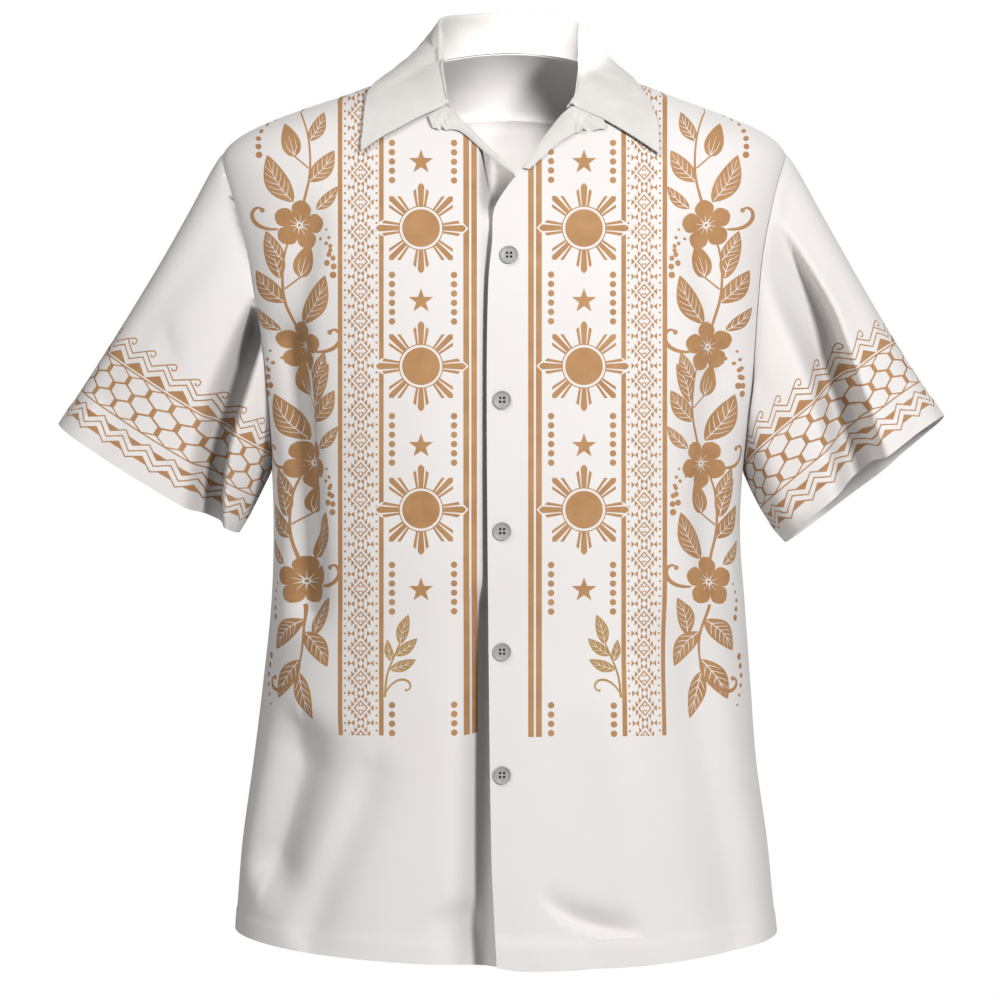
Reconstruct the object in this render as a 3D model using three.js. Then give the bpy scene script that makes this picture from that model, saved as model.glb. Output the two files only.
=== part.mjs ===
import * as THREE from "three";

// Short-sleeved camp shirt, filled out as if worn, in millimetres.
// +Z is up, the front faces -Y and +X is the wearer's left. The origin is at the middle of the neck.

const WALL = 1.2;
const SEAM = 0.3;
const CLEAR = 0.5;

// Horizontal sections of the body, top to bottom: half widths to each side of the centre front, depths
// in front of and behind the shoulder line, and the power of the rounded outline.
const SECTIONS = [
  { z: -5, left: 54, right: 64, front: 32, back: 59, power: 2.1 },
  { z: -12, left: 70, right: 82, front: 42, back: 66, power: 2.1 },
  { z: -20, left: 91, right: 101, front: 50, back: 73, power: 2.1 },
  { z: -32, left: 124, right: 131, front: 61, back: 82, power: 2.12 },
  { z: -47, left: 168, right: 172, front: 71, back: 91, power: 2.15 },
  { z: -62, left: 203, right: 207, front: 80, back: 98, power: 2.18 },
  { z: -78, left: 222, right: 224, front: 88, back: 104, power: 2.2 },
  { z: -96, left: 227, right: 227, front: 96, back: 110, power: 2.25 },
  { z: -124, left: 224, right: 225, front: 107, back: 117, power: 2.3 },
  { z: -160, left: 215, right: 219, front: 118, back: 123, power: 2.35 },
  { z: -200, left: 206, right: 213, front: 127, back: 127, power: 2.4 },
  { z: -250, left: 196, right: 206, front: 134, back: 128, power: 2.45 },
  { z: -300, left: 187, right: 196, front: 138, back: 127, power: 2.5 },
  { z: -330, left: 184, right: 191, front: 139, back: 126, power: 2.5 },
  { z: -380, left: 183, right: 189, front: 138, back: 122, power: 2.5 },
  { z: -435, left: 185, right: 193, front: 135, back: 118, power: 2.45 },
  { z: -500, left: 192, right: 198, front: 131, back: 115, power: 2.4 },
  { z: -563, left: 200, right: 203, front: 128, back: 113, power: 2.4 },
  { z: -627, left: 209, right: 212, front: 125, back: 112, power: 2.4 },
  { z: -676, left: 213, right: 217, front: 122, back: 111, power: 2.4 },
  { z: -704, left: 215, right: 220, front: 121, back: 111, power: 2.4 },
];

// Inner edges of the two fronts, as distances from the centre front: neckline, opening and front edge.
const FRONT_EDGES = [
  { z: -7, left: -50, right: 61 },
  { z: -12, left: -54, right: 64 },
  { z: -20, left: -54, right: 64 },
  { z: -32, left: -51, right: 60 },
  { z: -47, left: -41, right: 50 },
  { z: -62, left: -24, right: 38 },
  { z: -78, left: -9, right: 26 },
  { z: -87, left: 0, right: 19 },
  { z: -96, left: 8, right: 12 },
  { z: -107, left: 13, right: 3 },
  { z: -124, left: 13.5, right: -7.5 },
  { z: -148, left: 13.5, right: -11.5 },
  { z: -178, left: 13.5, right: -12.5 },
  { z: -704, left: 13.5, right: -12.5 },
];

// Armhole: top and bottom heights, and its reach in front of and behind the shoulder line.
const ARMHOLE = { top: -78, bottom: -330, front: 57, back: 53, power: 2.2 };

// Heights of the panel rows. The armhole starts and ends on a row, and the yoke seam is one.
const ROWS = [-7, -12, -20, -32, -47, -62, -78, -80.5, -86, -95, -107, -124, -148, -178, -210, -242,
  -272, -296, -312, -322, -328, -330, -352, -388, -430, -472, -514, -556, -598, -636, -672, -704];
const YOKE_ROW = 10;
const YOKE_LIFT = 56;
const GORGE_ROW = 4;
const FRONT_COLUMNS = 9;
const BACK_COLUMNS = 18;

// Folds of the body. The place along the cloth is measured from the centre front or the centre back, the
// depth is inward, and a negative depth is a ridge.
const FOLDS = [
  { face: "front", l0: -120, z0: -520, l1: -208, z1: -672, width: 19, depth: 6 },
  { face: "front", l0: -88, z0: -560, l1: -150, z1: -690, width: 17, depth: -4 },
  { face: "front", l0: -62, z0: -560, l1: -104, z1: -700, width: 15, depth: 4 },
  { face: "front", l0: -19, z0: -480, l1: -26, z1: -710, width: 12, depth: 6, only: "front_left" },
  { face: "front", l0: -182, z0: -270, l1: -170, z1: -380, width: 15, depth: 5 },
  { face: "front", l0: -6, z0: -84, l1: -9, z1: -126, width: 13, depth: 6, only: "front_left" },
  { face: "front", l0: 50, z0: -655, l1: 128, z1: -688, width: 10, depth: 3 },
  { face: "front", l0: 168, z0: -250, l1: 176, z1: -400, width: 20, depth: 4 },
  { face: "front", l0: 150, z0: -470, l1: 196, z1: -690, width: 24, depth: 5 },
  { face: "front", l0: 92, z0: -500, l1: 108, z1: -700, width: 26, depth: -3 },
  { face: "back", l0: -150, z0: -180, l1: -70, z1: -330, width: 22, depth: 5 },
  { face: "back", l0: 140, z0: -200, l1: 84, z1: -350, width: 20, depth: 4 },
  { face: "back", l0: -96, z0: -400, l1: -132, z1: -700, width: 24, depth: 7 },
  { face: "back", l0: -28, z0: -360, l1: -16, z1: -700, width: 26, depth: -5 },
  { face: "back", l0: 52, z0: -330, l1: 74, z1: -700, width: 24, depth: 6 },
  { face: "back", l0: 150, z0: -420, l1: 168, z1: -690, width: 22, depth: 5 },
];

// Silhouette of each sleeve from armhole to cuff, as [across, up] of its upper and lower edge, with its
// reach to the front and back, and how far the front is drawn up and the back let down.
const SLEEVES = {
  left: [
    { t: 0.0, x: -222, z: -78, lx: -184, lz: -330, front: 57, back: 53, tilt: 0 },
    { t: 0.12, x: -240, z: -101, lx: -188, lz: -338, front: 59, back: 55, tilt: 0 },
    { t: 0.3, x: -261, z: -145, lx: -193, lz: -348, front: 60, back: 57, tilt: 0 },
    { t: 0.5, x: -287, z: -189, lx: -198, lz: -358, front: 59, back: 57, tilt: 0 },
    { t: 0.75, x: -321, z: -243, lx: -205, lz: -370, front: 58, back: 56, tilt: 0 },
    { t: 1.0, x: -354, z: -293, lx: -211, lz: -380, front: 57, back: 55, tilt: -1 },
  ],
  right: [
    { t: 0.0, x: 224, z: -78, lx: 191, lz: -330, front: 57, back: 53, tilt: 0 },
    { t: 0.12, x: 243, z: -100, lx: 195, lz: -341, front: 59, back: 55, tilt: 1 },
    { t: 0.3, x: 264, z: -144, lx: 201, lz: -353, front: 60, back: 57, tilt: 3 },
    { t: 0.5, x: 288, z: -187, lx: 208, lz: -365, front: 59, back: 57, tilt: 5 },
    { t: 0.75, x: 320, z: -240, lx: 217, lz: -378, front: 58, back: 56, tilt: 7 },
    { t: 1.0, x: 352, z: -288, lx: 226, lz: -388, front: 57, back: 55, tilt: 9 },
  ],
};
const SLEEVE_RINGS = [0, 0.07, 0.17, 0.3, 0.45, 0.62, 0.8, 1];

// Folds of the sleeves: share of the way round from the top edge, positive to the front, and share of the
// way down to the cuff.
const SLEEVE_FOLDS = {
  left: [
    { a0: 0.3, t0: 0.0, a1: 0.25, t1: 1.05, width: 17, depth: 12 },
    { a0: 0.12, t0: 0.05, a1: 0.08, t1: 0.7, width: 16, depth: 4 },
    { a0: -0.22, t0: 0.0, a1: -0.3, t1: 1.0, width: 18, depth: 8 },
    { a0: -0.08, t0: 0.3, a1: -0.12, t1: 1.0, width: 16, depth: -4 },
  ],
  right: [
    { a0: 0.2, t0: 0.0, a1: 0.27, t1: 1.05, width: 18, depth: 12 },
    { a0: 0.38, t0: 0.1, a1: 0.4, t1: 0.9, width: 14, depth: -3 },
    { a0: -0.26, t0: 0.0, a1: -0.2, t1: 1.0, width: 18, depth: 8 },
    { a0: -0.12, t0: 0.2, a1: -0.08, t1: 1.0, width: 15, depth: -4 },
  ],
};

// Collar, along the neck from the viewer's left end to the right one: top of the fold, outer edge of the
// fall, and how far that edge stands off what is under it.
const COLLAR = [
  { u: 0.0, fx: -43, fy: -66, fz: -43, ex: -107, ey: -70, ez: -85, off: 4.5 },
  { u: 0.08, fx: -46, fy: -52, fz: -29, ex: -104, ey: -52, ez: -62, off: 4 },
  { u: 0.16, fx: -49, fy: -30, fz: -7, ex: -100, ey: -30, ez: -40, off: 3.5 },
  { u: 0.24, fx: -50, fy: -2, fz: 15, ex: -88, ey: 2, ez: -20, off: 3 },
  { u: 0.33, fx: -49, fy: 29, fz: 30, ex: -78, ey: 50, ez: -16, off: 3 },
  { u: 0.42, fx: -28, fy: 50, fz: 34, ex: -47, ey: 72, ez: -15, off: 3 },
  { u: 0.5, fx: 6, fy: 56, fz: 36, ex: 6, ey: 76, ez: -13, off: 3 },
  { u: 0.58, fx: 40, fy: 50, fz: 34, ex: 57, ey: 72, ez: -15, off: 3 },
  { u: 0.67, fx: 61, fy: 29, fz: 30, ex: 86, ey: 50, ez: -16, off: 3 },
  { u: 0.76, fx: 62, fy: -2, fz: 15, ex: 93, ey: 2, ez: -19, off: 3 },
  { u: 0.84, fx: 61, fy: -30, fz: -7, ex: 104, ey: -30, ez: -38, off: 3.5 },
  { u: 0.92, fx: 58, fy: -52, fz: -29, ex: 115, ey: -52, ez: -62, off: 4 },
  { u: 1.0, fx: 53, fy: -66, fz: -43, ex: 117.5, ey: -70, ez: -86, off: 4.5 },
];

// Lapels: the edge where the front turns over, and the free outer edge, in the front view.
const LAPELS = {
  left: [
    { u: 0.0, ix: -60, iz: -52, ox: -54, oz: -62 },
    { u: 0.25, ix: -46, iz: -45, ox: -44.8, oz: -62.5 },
    { u: 0.5, ix: -33, iz: -55.5, ox: -32.8, oz: -64.5 },
    { u: 0.75, ix: -17.5, iz: -71, ox: -16.5, oz: -76 },
    { u: 1.0, ix: 0, iz: -89, ox: 1, oz: -91.5 },
  ],
  right: [
    { u: 0.0, ix: 79.5, iz: -54.5, ox: 78.5, oz: -62.5 },
    { u: 0.22, ix: 59, iz: -45, ox: 61, oz: -64 },
    { u: 0.4, ix: 49, iz: -49.5, ox: 53, oz: -67 },
    { u: 0.6, ix: 38, iz: -62.5, ox: 40, oz: -75.5 },
    { u: 0.8, ix: 27, iz: -77.5, ox: 30.4, oz: -84.5 },
    { u: 1.0, ix: 16, iz: -93, ox: 20, oz: -94 },
  ],
};

const BUTTONS = [
  { x: 4.5, z: -160 },
  { x: -0.8, z: -270 },
  { x: -0.8, z: -370 },
  { x: -0.8, z: -463 },
  { x: -0.8, z: -559 },
];
const BUTTON = { radius: 7, rim: 0.9, edge: 2.4, well: 1.7, hole: 0.85, pitch: 1.25, sides: 18 };

// Drop of the hem below a level line, by the distance across: lowest at the front edges.
const HEM = [
  { x: -220, front: -7, back: -7 },
  { x: -150, front: -1, back: -3 },
  { x: -70, front: 3, back: 0 },
  { x: -14, front: 4, back: 1 },
  { x: 14, front: 8, back: 1 },
  { x: 70, front: 7, back: 0 },
  { x: 150, front: 3, back: -2 },
  { x: 225, front: -4, back: -4 },
];

const clamp = (v, lo, hi) => Math.min(hi, Math.max(lo, v));
const mix = (a, b, t) => a + (b - a) * t;
const smooth = (t) => {
  const c = clamp(t, 0, 1);
  return c * c * (3 - 2 * c);
};

// A smooth reading of one column of a table that is sorted by its key column.
function reading(table, key, name, at) {
  const rows = table[0][key] > table[table.length - 1][key] ? [...table].reverse() : table;
  const last = rows.length - 1;
  const v = clamp(at, rows[0][key], rows[last][key]);
  let i = 0;
  while (i < last - 1 && rows[i + 1][key] < v) i += 1;
  const slope = (j) => {
    const a = rows[Math.max(j - 1, 0)];
    const b = rows[Math.min(j + 1, last)];
    return (b[name] - a[name]) / (b[key] - a[key]);
  };
  const h = rows[i + 1][key] - rows[i][key];
  const t = (v - rows[i][key]) / h;
  const p0 = rows[i][name];
  const p1 = rows[i + 1][name];
  const m0 = slope(i) * h;
  const m1 = slope(i + 1) * h;
  return (2 * t ** 3 - 3 * t ** 2 + 1) * p0 + (t ** 3 - 2 * t ** 2 + t) * m0
    + (3 * t ** 2 - 2 * t ** 3) * p1 + (t ** 3 - t ** 2) * m1;
}

const size = (name, z) => reading(SECTIONS, "z", name, z);

// The back of the neck stands a little higher than the sides.
function neckRise(x, y, z) {
  const near = Math.max(0, 1 - ((x - 5) / 64) ** 2);
  return y > 0 ? 10 * near * clamp((z + 60) / 53, 0, 1) * clamp(y / 40, 0, 1) : 0;
}

// How far a point lies outside the body, to first order, with the outward direction.
function level(x, y, z) {
  const a = x < 0 ? size("left", z) : size("right", z);
  const b = y < 0 ? size("front", z) : size("back", z);
  const n = size("power", z);
  return (Math.abs(x / a) ** n + Math.abs(y / b) ** n) ** (1 / n) - 1;
}

function outside(p) {
  const z = p.z - neckRise(p.x, p.y, p.z);
  const e = 0.2;
  const g = new THREE.Vector3(
    (level(p.x + e, p.y, z) - level(p.x - e, p.y, z)) / (2 * e),
    (level(p.x, p.y + e, z) - level(p.x, p.y - e, z)) / (2 * e),
    (level(p.x, p.y, z + e) - level(p.x, p.y, z - e)) / (2 * e),
  );
  const steep = g.length();
  return { far: level(p.x, p.y, z) / steep, way: g.multiplyScalar(1 / steep) };
}

// The nearest point that stands the given distance off the body.
function standOff(p, far) {
  const q = p.clone();
  for (let k = 0; k < 12; k += 1) {
    const o = outside(q);
    q.addScaledVector(o.way, clamp(far - o.far, -6, 6));
  }
  return q;
}

// Half of a section, front or back, as points with their length along the cloth from the middle.
const sectionCache = new Map();
function section(z, face) {
  const key = `${face}${z.toFixed(4)}`;
  if (sectionCache.has(key)) return sectionCache.get(key);
  const a = { "-1": size("left", z), 1: size("right", z) };
  const b = size(face, z);
  const n = size("power", z);
  const steps = 240;
  const points = [];
  for (let k = -steps; k <= steps; k += 1) {
    const angle = (k / steps) * Math.PI / 2;
    const side = k < 0 ? -1 : 1;
    const x = side * a[side] * Math.abs(Math.sin(angle)) ** (2 / n);
    const y = b * Math.max(0, Math.cos(angle)) ** (2 / n) * (face === "front" ? -1 : 1);
    points.push({ x, y, l: 0 });
  }
  for (let k = 1; k < points.length; k += 1) {
    points[k].l = points[k - 1].l + Math.hypot(points[k].x - points[k - 1].x, points[k].y - points[k - 1].y);
  }
  const middle = points[steps].l;
  points.forEach((p) => { p.l -= middle; });
  sectionCache.set(key, points);
  return points;
}

function crossing(points, test) {
  for (let k = 1; k < points.length; k += 1) {
    const t0 = test(points[k - 1]);
    const t1 = test(points[k]);
    if (t0 <= 0 && t1 > 0) return mix(points[k - 1].l, points[k].l, t0 === t1 ? 0 : -t0 / (t1 - t0));
  }
  return points[points.length - 1].l;
}

function along(points, l) {
  let lo = 0;
  let hi = points.length - 1;
  while (hi - lo > 1) {
    const m = (lo + hi) >> 1;
    if (points[m].l <= l) lo = m;
    else hi = m;
  }
  const t = (l - points[lo].l) / (points[hi].l - points[lo].l);
  return { x: mix(points[lo].x, points[hi].x, t), y: mix(points[lo].y, points[hi].y, t) };
}

function armReach(z, face) {
  const middle = (ARMHOLE.top + ARMHOLE.bottom) / 2;
  const half = (ARMHOLE.top - ARMHOLE.bottom) / 2;
  const r = Math.abs((z - middle) / half);
  return r >= 1 ? 0 : ARMHOLE[face] * (1 - r ** ARMHOLE.power) ** (1 / ARMHOLE.power);
}

// Length from the middle to the shoulder, armhole or side edge of a section.
function sideEnd(z, face, side) {
  const points = section(z, face);
  const reach = armReach(z, face);
  if (reach <= 0) return side < 0 ? points[0].l : points[points.length - 1].l;
  return side < 0
    ? crossing(points, (p) => Math.abs(p.y) - reach)
    : crossing(points, (p) => reach - Math.abs(p.y));
}

function foldDepth(l, z, face, piece) {
  let sum = 0;
  const front = section(z, "front");
  const back = section(z, "back");
  for (const f of FOLDS) {
    let at = l;
    if (f.only && f.only !== piece) continue;
    if (f.face !== face) {
      const side = l < 0 ? -1 : 1;
      const half = side < 0 ? -front[0].l - back[0].l : front[front.length - 1].l + back[back.length - 1].l;
      at = side * (half - Math.abs(l));
    }
    const dl = f.l1 - f.l0;
    const dz = f.z1 - f.z0;
    const t = ((at - f.l0) * dl + (z - f.z0) * dz) / (dl * dl + dz * dz);
    if (t < -0.3 || t > 1.3) continue;
    const c = clamp(t, 0, 1);
    const off = Math.hypot(at - f.l0 - dl * c, z - f.z0 - dz * c);
    sum += f.depth * Math.exp(-((off / f.width) ** 2)) * smooth((t + 0.3) / 0.5);
  }
  return sum * smooth((-z - 60) / 60);
}

// Where the two fronts overlap, one lies a little out and the other a little in.
function overlapOut(l, z, piece) {
  const low = smooth((-z - 60) / 34);
  if (piece === "front_right") return 1.15 * low * (1 - smooth((l - 18) / 44));
  if (piece === "front_left") return -1.15 * low * smooth((l + 62) / 44);
  return 0;
}

function bodyPoint(l, z, face, piece) {
  const flat = along(section(z, face), l);
  const p = new THREE.Vector3(flat.x, flat.y, z);
  const way = outside(p).way;
  p.z += neckRise(p.x, p.y, z);
  p.addScaledVector(way, overlapOut(l, z, piece) - foldDepth(l, z, face, piece));
  p.z -= reading(HEM, "x", face, p.x) * clamp((-z - 600) / 104, 0, 1) ** 2;
  return { p, way };
}

// A closed cloth wall from a grid of outer points and their outward directions.
function wall(name, grid, closed, thick = WALL) {
  const rows = grid.length;
  const cols = grid[0].length;
  const points = [];
  const faces = [];
  const add = (v) => {
    points.push(v.x, v.y, v.z);
    return points.length / 3 - 1;
  };
  const outer = grid.map((row) => row.map((c) => add(c.p)));
  const inner = grid.map((row) => row.map((c) => add(c.p.clone().addScaledVector(c.way, -thick))));
  const quad = (a, b, c, d) => faces.push(a, b, c, a, c, d);
  const wide = closed ? cols : cols - 1;
  for (let i = 0; i < rows - 1; i += 1) {
    for (let j = 0; j < wide; j += 1) {
      const k = (j + 1) % cols;
      quad(outer[i][j], outer[i + 1][j], outer[i + 1][k], outer[i][k]);
      quad(inner[i][j], inner[i][k], inner[i + 1][k], inner[i + 1][j]);
    }
  }
  for (let j = 0; j < wide; j += 1) {
    const k = (j + 1) % cols;
    quad(outer[0][j], outer[0][k], inner[0][k], inner[0][j]);
    quad(outer[rows - 1][k], outer[rows - 1][j], inner[rows - 1][j], inner[rows - 1][k]);
  }
  if (!closed) {
    for (let i = 0; i < rows - 1; i += 1) {
      quad(outer[i + 1][0], outer[i][0], inner[i][0], inner[i + 1][0]);
      quad(outer[i][cols - 1], outer[i + 1][cols - 1], inner[i + 1][cols - 1], inner[i][cols - 1]);
    }
  }
  return solid(name, points, faces);
}

function solid(name, points, faces) {
  const geometry = new THREE.BufferGeometry();
  geometry.setAttribute("position", new THREE.Float32BufferAttribute(points, 3));
  geometry.setIndex(faces);
  const mesh = new THREE.Mesh(geometry, new THREE.MeshStandardMaterial());
  mesh.name = name;
  return mesh;
}

// Rows of a front, between its inner edge and the shoulder, armhole or side seam.
function frontGrid(side) {
  const piece = side < 0 ? "front_left" : "front_right";
  const column = side < 0 ? "left" : "right";
  return ROWS.map((z) => {
    const points = section(z, "front");
    const edge = reading(FRONT_EDGES, "z", column, z);
    const inner = crossing(points, (p) => p.x - edge);
    const outer = sideEnd(z, "front", side) - side * SEAM / 2;
    const row = [];
    for (let j = 0; j <= FRONT_COLUMNS; j += 1) {
      const t = j / FRONT_COLUMNS;
      const l = side < 0 ? mix(outer, inner, t) : mix(inner, outer, t);
      row.push(bodyPoint(l, z, "front", piece));
    }
    return row;
  });
}

// Rows of the back, from the viewer's right to the left. The yoke seam is higher in the middle.
function backGrid(first, last, pull) {
  const rows = [];
  for (let i = first; i <= last; i += 1) {
    const base = ROWS[i];
    const row = [];
    for (let j = 0; j <= BACK_COLUMNS; j += 1) {
      const s = 1 - 2 * j / BACK_COLUMNS;
      const up = base > ROWS[YOKE_ROW]
        ? (ROWS[0] - base) / (ROWS[0] - ROWS[YOKE_ROW])
        : clamp((base - ARMHOLE.bottom) / (ROWS[YOKE_ROW] - ARMHOLE.bottom), 0, 1);
      let z = base + YOKE_LIFT * up * (1 - s * s);
      if (i === YOKE_ROW) z += pull;
      const side = s < 0 ? -1 : 1;
      const end = Math.abs(sideEnd(z, "back", side)) - SEAM / 2;
      row.push(bodyPoint(s * end, z, "back", "back"));
    }
    rows.push(row);
  }
  return rows;
}

const frontLeft = frontGrid(-1);
const frontRight = frontGrid(1);
const yokeGrid = backGrid(0, YOKE_ROW, SEAM / 2);
const lowerBack = backGrid(YOKE_ROW, ROWS.length - 1, -SEAM / 2);

// The armhole ring of a sleeve is made from the panel edges: down the front, then up the back.
function armholeRing(side) {
  const top = ROWS.indexOf(ARMHOLE.top);
  const low = ROWS.indexOf(ARMHOLE.bottom);
  const front = side < 0 ? frontLeft : frontRight;
  const f = side < 0 ? 0 : FRONT_COLUMNS;
  const b = side < 0 ? BACK_COLUMNS : 0;
  const ring = [];
  for (let i = top; i <= low; i += 1) ring.push(front[i][f].p.clone());
  for (let i = low - 1; i > top; i -= 1) {
    ring.push((i > YOKE_ROW ? lowerBack[i - YOKE_ROW][b] : yokeGrid[i][b]).p.clone());
  }
  return ring;
}

function sleeve(side) {
  const name = side < 0 ? "left" : "right";
  const table = SLEEVES[name];
  const start = armholeRing(side);
  const count = start.length;
  const low = ROWS.indexOf(ARMHOLE.bottom) - ROWS.indexOf(ARMHOLE.top);
  const share = [0];
  for (let k = 1; k <= count; k += 1) share.push(share[k - 1] + start[k - 1].distanceTo(start[k % count]));
  const around = start.map((p, k) => (k <= low
    ? 0.5 * share[k] / share[low]
    : 0.5 + 0.5 * (share[k] - share[low]) / (share[count] - share[low])));
  const ringPoint = (t, a) => {
    const r = (n) => reading(table, "t", n, t);
    const angle = a * 2 * Math.PI;
    const c = Math.cos(angle);
    const s = Math.sin(angle);
    const e = 2 / 2.3;
    const h = Math.sign(c) * Math.abs(c) ** e;
    const w = Math.sign(s) * Math.abs(s) ** e;
    const deep = s > 0 ? r("front") : r("back");
    const draw = r("tilt") * w;
    return new THREE.Vector3((r("x") + r("lx")) / 2 + (r("x") - r("lx")) / 2 * h - side * 0.5 * draw,
      -deep * w, (r("z") + r("lz")) / 2 + (r("z") - r("lz")) / 2 * h + 0.86 * draw);
  };
  const place = (t, k) => {
    const blend = smooth(t / 0.45);
    return start[k].clone().lerp(ringPoint(t, around[k]), blend);
  };
  const girth = 460;
  const length = 240;
  const grid = SLEEVE_RINGS.map((t) => {
    const row = [];
    for (let k = 0; k < count; k += 1) {
      const p = place(t, k);
      const before = place(t, (k + count - 1) % count);
      const after = place(t, (k + 1) % count);
      const up = place(Math.max(0, t - 0.03), k);
      const down = place(Math.min(1, t + 0.03), k);
      const way = new THREE.Vector3().crossVectors(after.sub(before), down.sub(up)).normalize();
      const heart = ringPoint(t, 0).add(ringPoint(t, 0.5)).multiplyScalar(0.5);
      if (way.dot(p.clone().sub(heart)) < 0) way.negate();
      let depth = 0;
      for (const f of SLEEVE_FOLDS[name]) {
        const a = around[k] > 0.5 ? around[k] - 1 : around[k];
        const da = (f.a1 - f.a0) * girth;
        const dt = (f.t1 - f.t0) * length;
        const pa = (a - f.a0) * girth;
        const pt = (t - f.t0) * length;
        const c = clamp((pa * da + pt * dt) / (da * da + dt * dt), 0, 1);
        const off = Math.hypot(pa - da * c, pt - dt * c);
        depth += f.depth * Math.exp(-((off / f.width) ** 2));
      }
      const q = p.addScaledVector(way, -depth * smooth(t / 0.3));
      if (t === 0) {
        q.addScaledVector(down.normalize(), 0.25);
        q.addScaledVector(outside(q).way, CLEAR);
      }
      row.push({ p: q, way });
    }
    return row;
  });
  if (side > 0) grid.forEach((row) => row.reverse());
  return wall(`sleeve_${name}`, grid, true);
}

// The neckline that the collar is sewn to, from the viewer's left end round the back to the right end.
function neckline() {
  const ring = [];
  for (let i = GORGE_ROW; i >= 0; i -= 1) ring.push(frontLeft[i][FRONT_COLUMNS].p);
  for (let j = BACK_COLUMNS; j >= 0; j -= 1) ring.push(yokeGrid[0][j].p);
  for (let i = 0; i <= GORGE_ROW; i += 1) ring.push(frontRight[i][0].p);
  return ring;
}

function collar() {
  const base = neckline();
  const run = [0];
  for (let k = 1; k < base.length; k += 1) run.push(run[k - 1] + base[k].distanceTo(base[k - 1]));
  const centre = new THREE.Vector3(5, -6, 0);
  const columns = base.map((seam, k) => {
    const u = run[k] / run[base.length - 1];
    const r = (n) => reading(COLLAR, "u", n, u);
    const inward = new THREE.Vector3(centre.x - seam.x, centre.y - seam.y, 0).normalize();
    const foot = seam.clone().addScaledVector(inward, 1.1);
    foot.z += 0.5;
    const fold = new THREE.Vector3(r("fx"), r("fy"), r("fz"));
    const edge = standOff(new THREE.Vector3(r("ex"), r("ey"), r("ez")), r("off"));
    const rise = fold.distanceTo(foot);
    const round = Math.min(2.6, rise * 0.45);
    const away = edge.clone().sub(fold);
    away.z = 0;
    away.normalize();
    const inside = fold.clone().addScaledVector(away, -round);
    inside.z -= round;
    const over = fold.clone().addScaledVector(away, round);
    over.z -= round * 0.9;
    const line = [foot, foot.clone().lerp(inside, 0.5), inside, fold, over];
    const bulge = over.clone().lerp(edge, 0.5).addScaledVector(away, 3);
    bulge.z += 3;
    for (const v of [0.25, 0.5, 0.75, 1]) {
      const a = over.clone().multiplyScalar((1 - v) ** 2);
      line.push(a.addScaledVector(bulge, 2 * v * (1 - v)).addScaledVector(edge, v * v));
    }
    return line.map((p, j) => {
      const least = j < 2 ? 1.55 : mix(3.2, r("off"), (j - 2) / (line.length - 3));
      const above = j < 5 && p.z > -8;
      return above || outside(p).far >= least ? p : standOff(p, least);
    });
  });
  const grid = columns[0].map((_, j) => columns.map((c) => ({ p: c[j], way: null })));
  faceOut(grid, false);
  return wall("collar", grid, false);
}

// Outward directions from the grid itself.
function faceOut(grid, flip) {
  const rows = grid.length;
  const cols = grid[0].length;
  for (let i = 0; i < rows; i += 1) {
    for (let j = 0; j < cols; j += 1) {
      const left = grid[i][Math.max(j - 1, 0)].p;
      const right = grid[i][Math.min(j + 1, cols - 1)].p;
      const up = grid[Math.max(i - 1, 0)][j].p;
      const down = grid[Math.min(i + 1, rows - 1)][j].p;
      const across = right.clone().sub(left);
      const way = down.clone().sub(up).cross(across).normalize();
      grid[i][j].way = flip ? way.negate() : way;
    }
  }
}

function lapel(side) {
  const name = side < 0 ? "left" : "right";
  const table = LAPELS[name];
  const grid = [];
  for (let j = 0; j <= 4; j += 1) {
    const v = j / 4;
    const row = [];
    for (let i = 0; i <= 8; i += 1) {
      const u = i / 8;
      const r = (n) => reading(table, "u", n, u);
      const x = mix(r("ix"), r("ox"), v);
      const z = mix(r("iz"), r("oz"), v);
      const z0 = z;
      const a = x < 0 ? size("left", z0) : size("right", z0);
      const n = size("power", z0);
      const y = -size("front", z0) * (1 - Math.abs(x / a) ** n) ** (1 / n);
      const lift = WALL + 0.45 + 2.2 * Math.sin(Math.PI * v) * (1 - 0.6 * u) + (side > 0 ? 1.1 * u : 0);
      const o = outside(new THREE.Vector3(x, y, z0));
      row.push({ p: new THREE.Vector3(x, y, z0).addScaledVector(o.way, lift), way: o.way });
    }
    grid.push(side < 0 ? row : row.reverse());
  }
  const turned = grid.map((row) => row.map((c) => c));
  return wall(`lapel_${name}`, turned, false);
}

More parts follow.
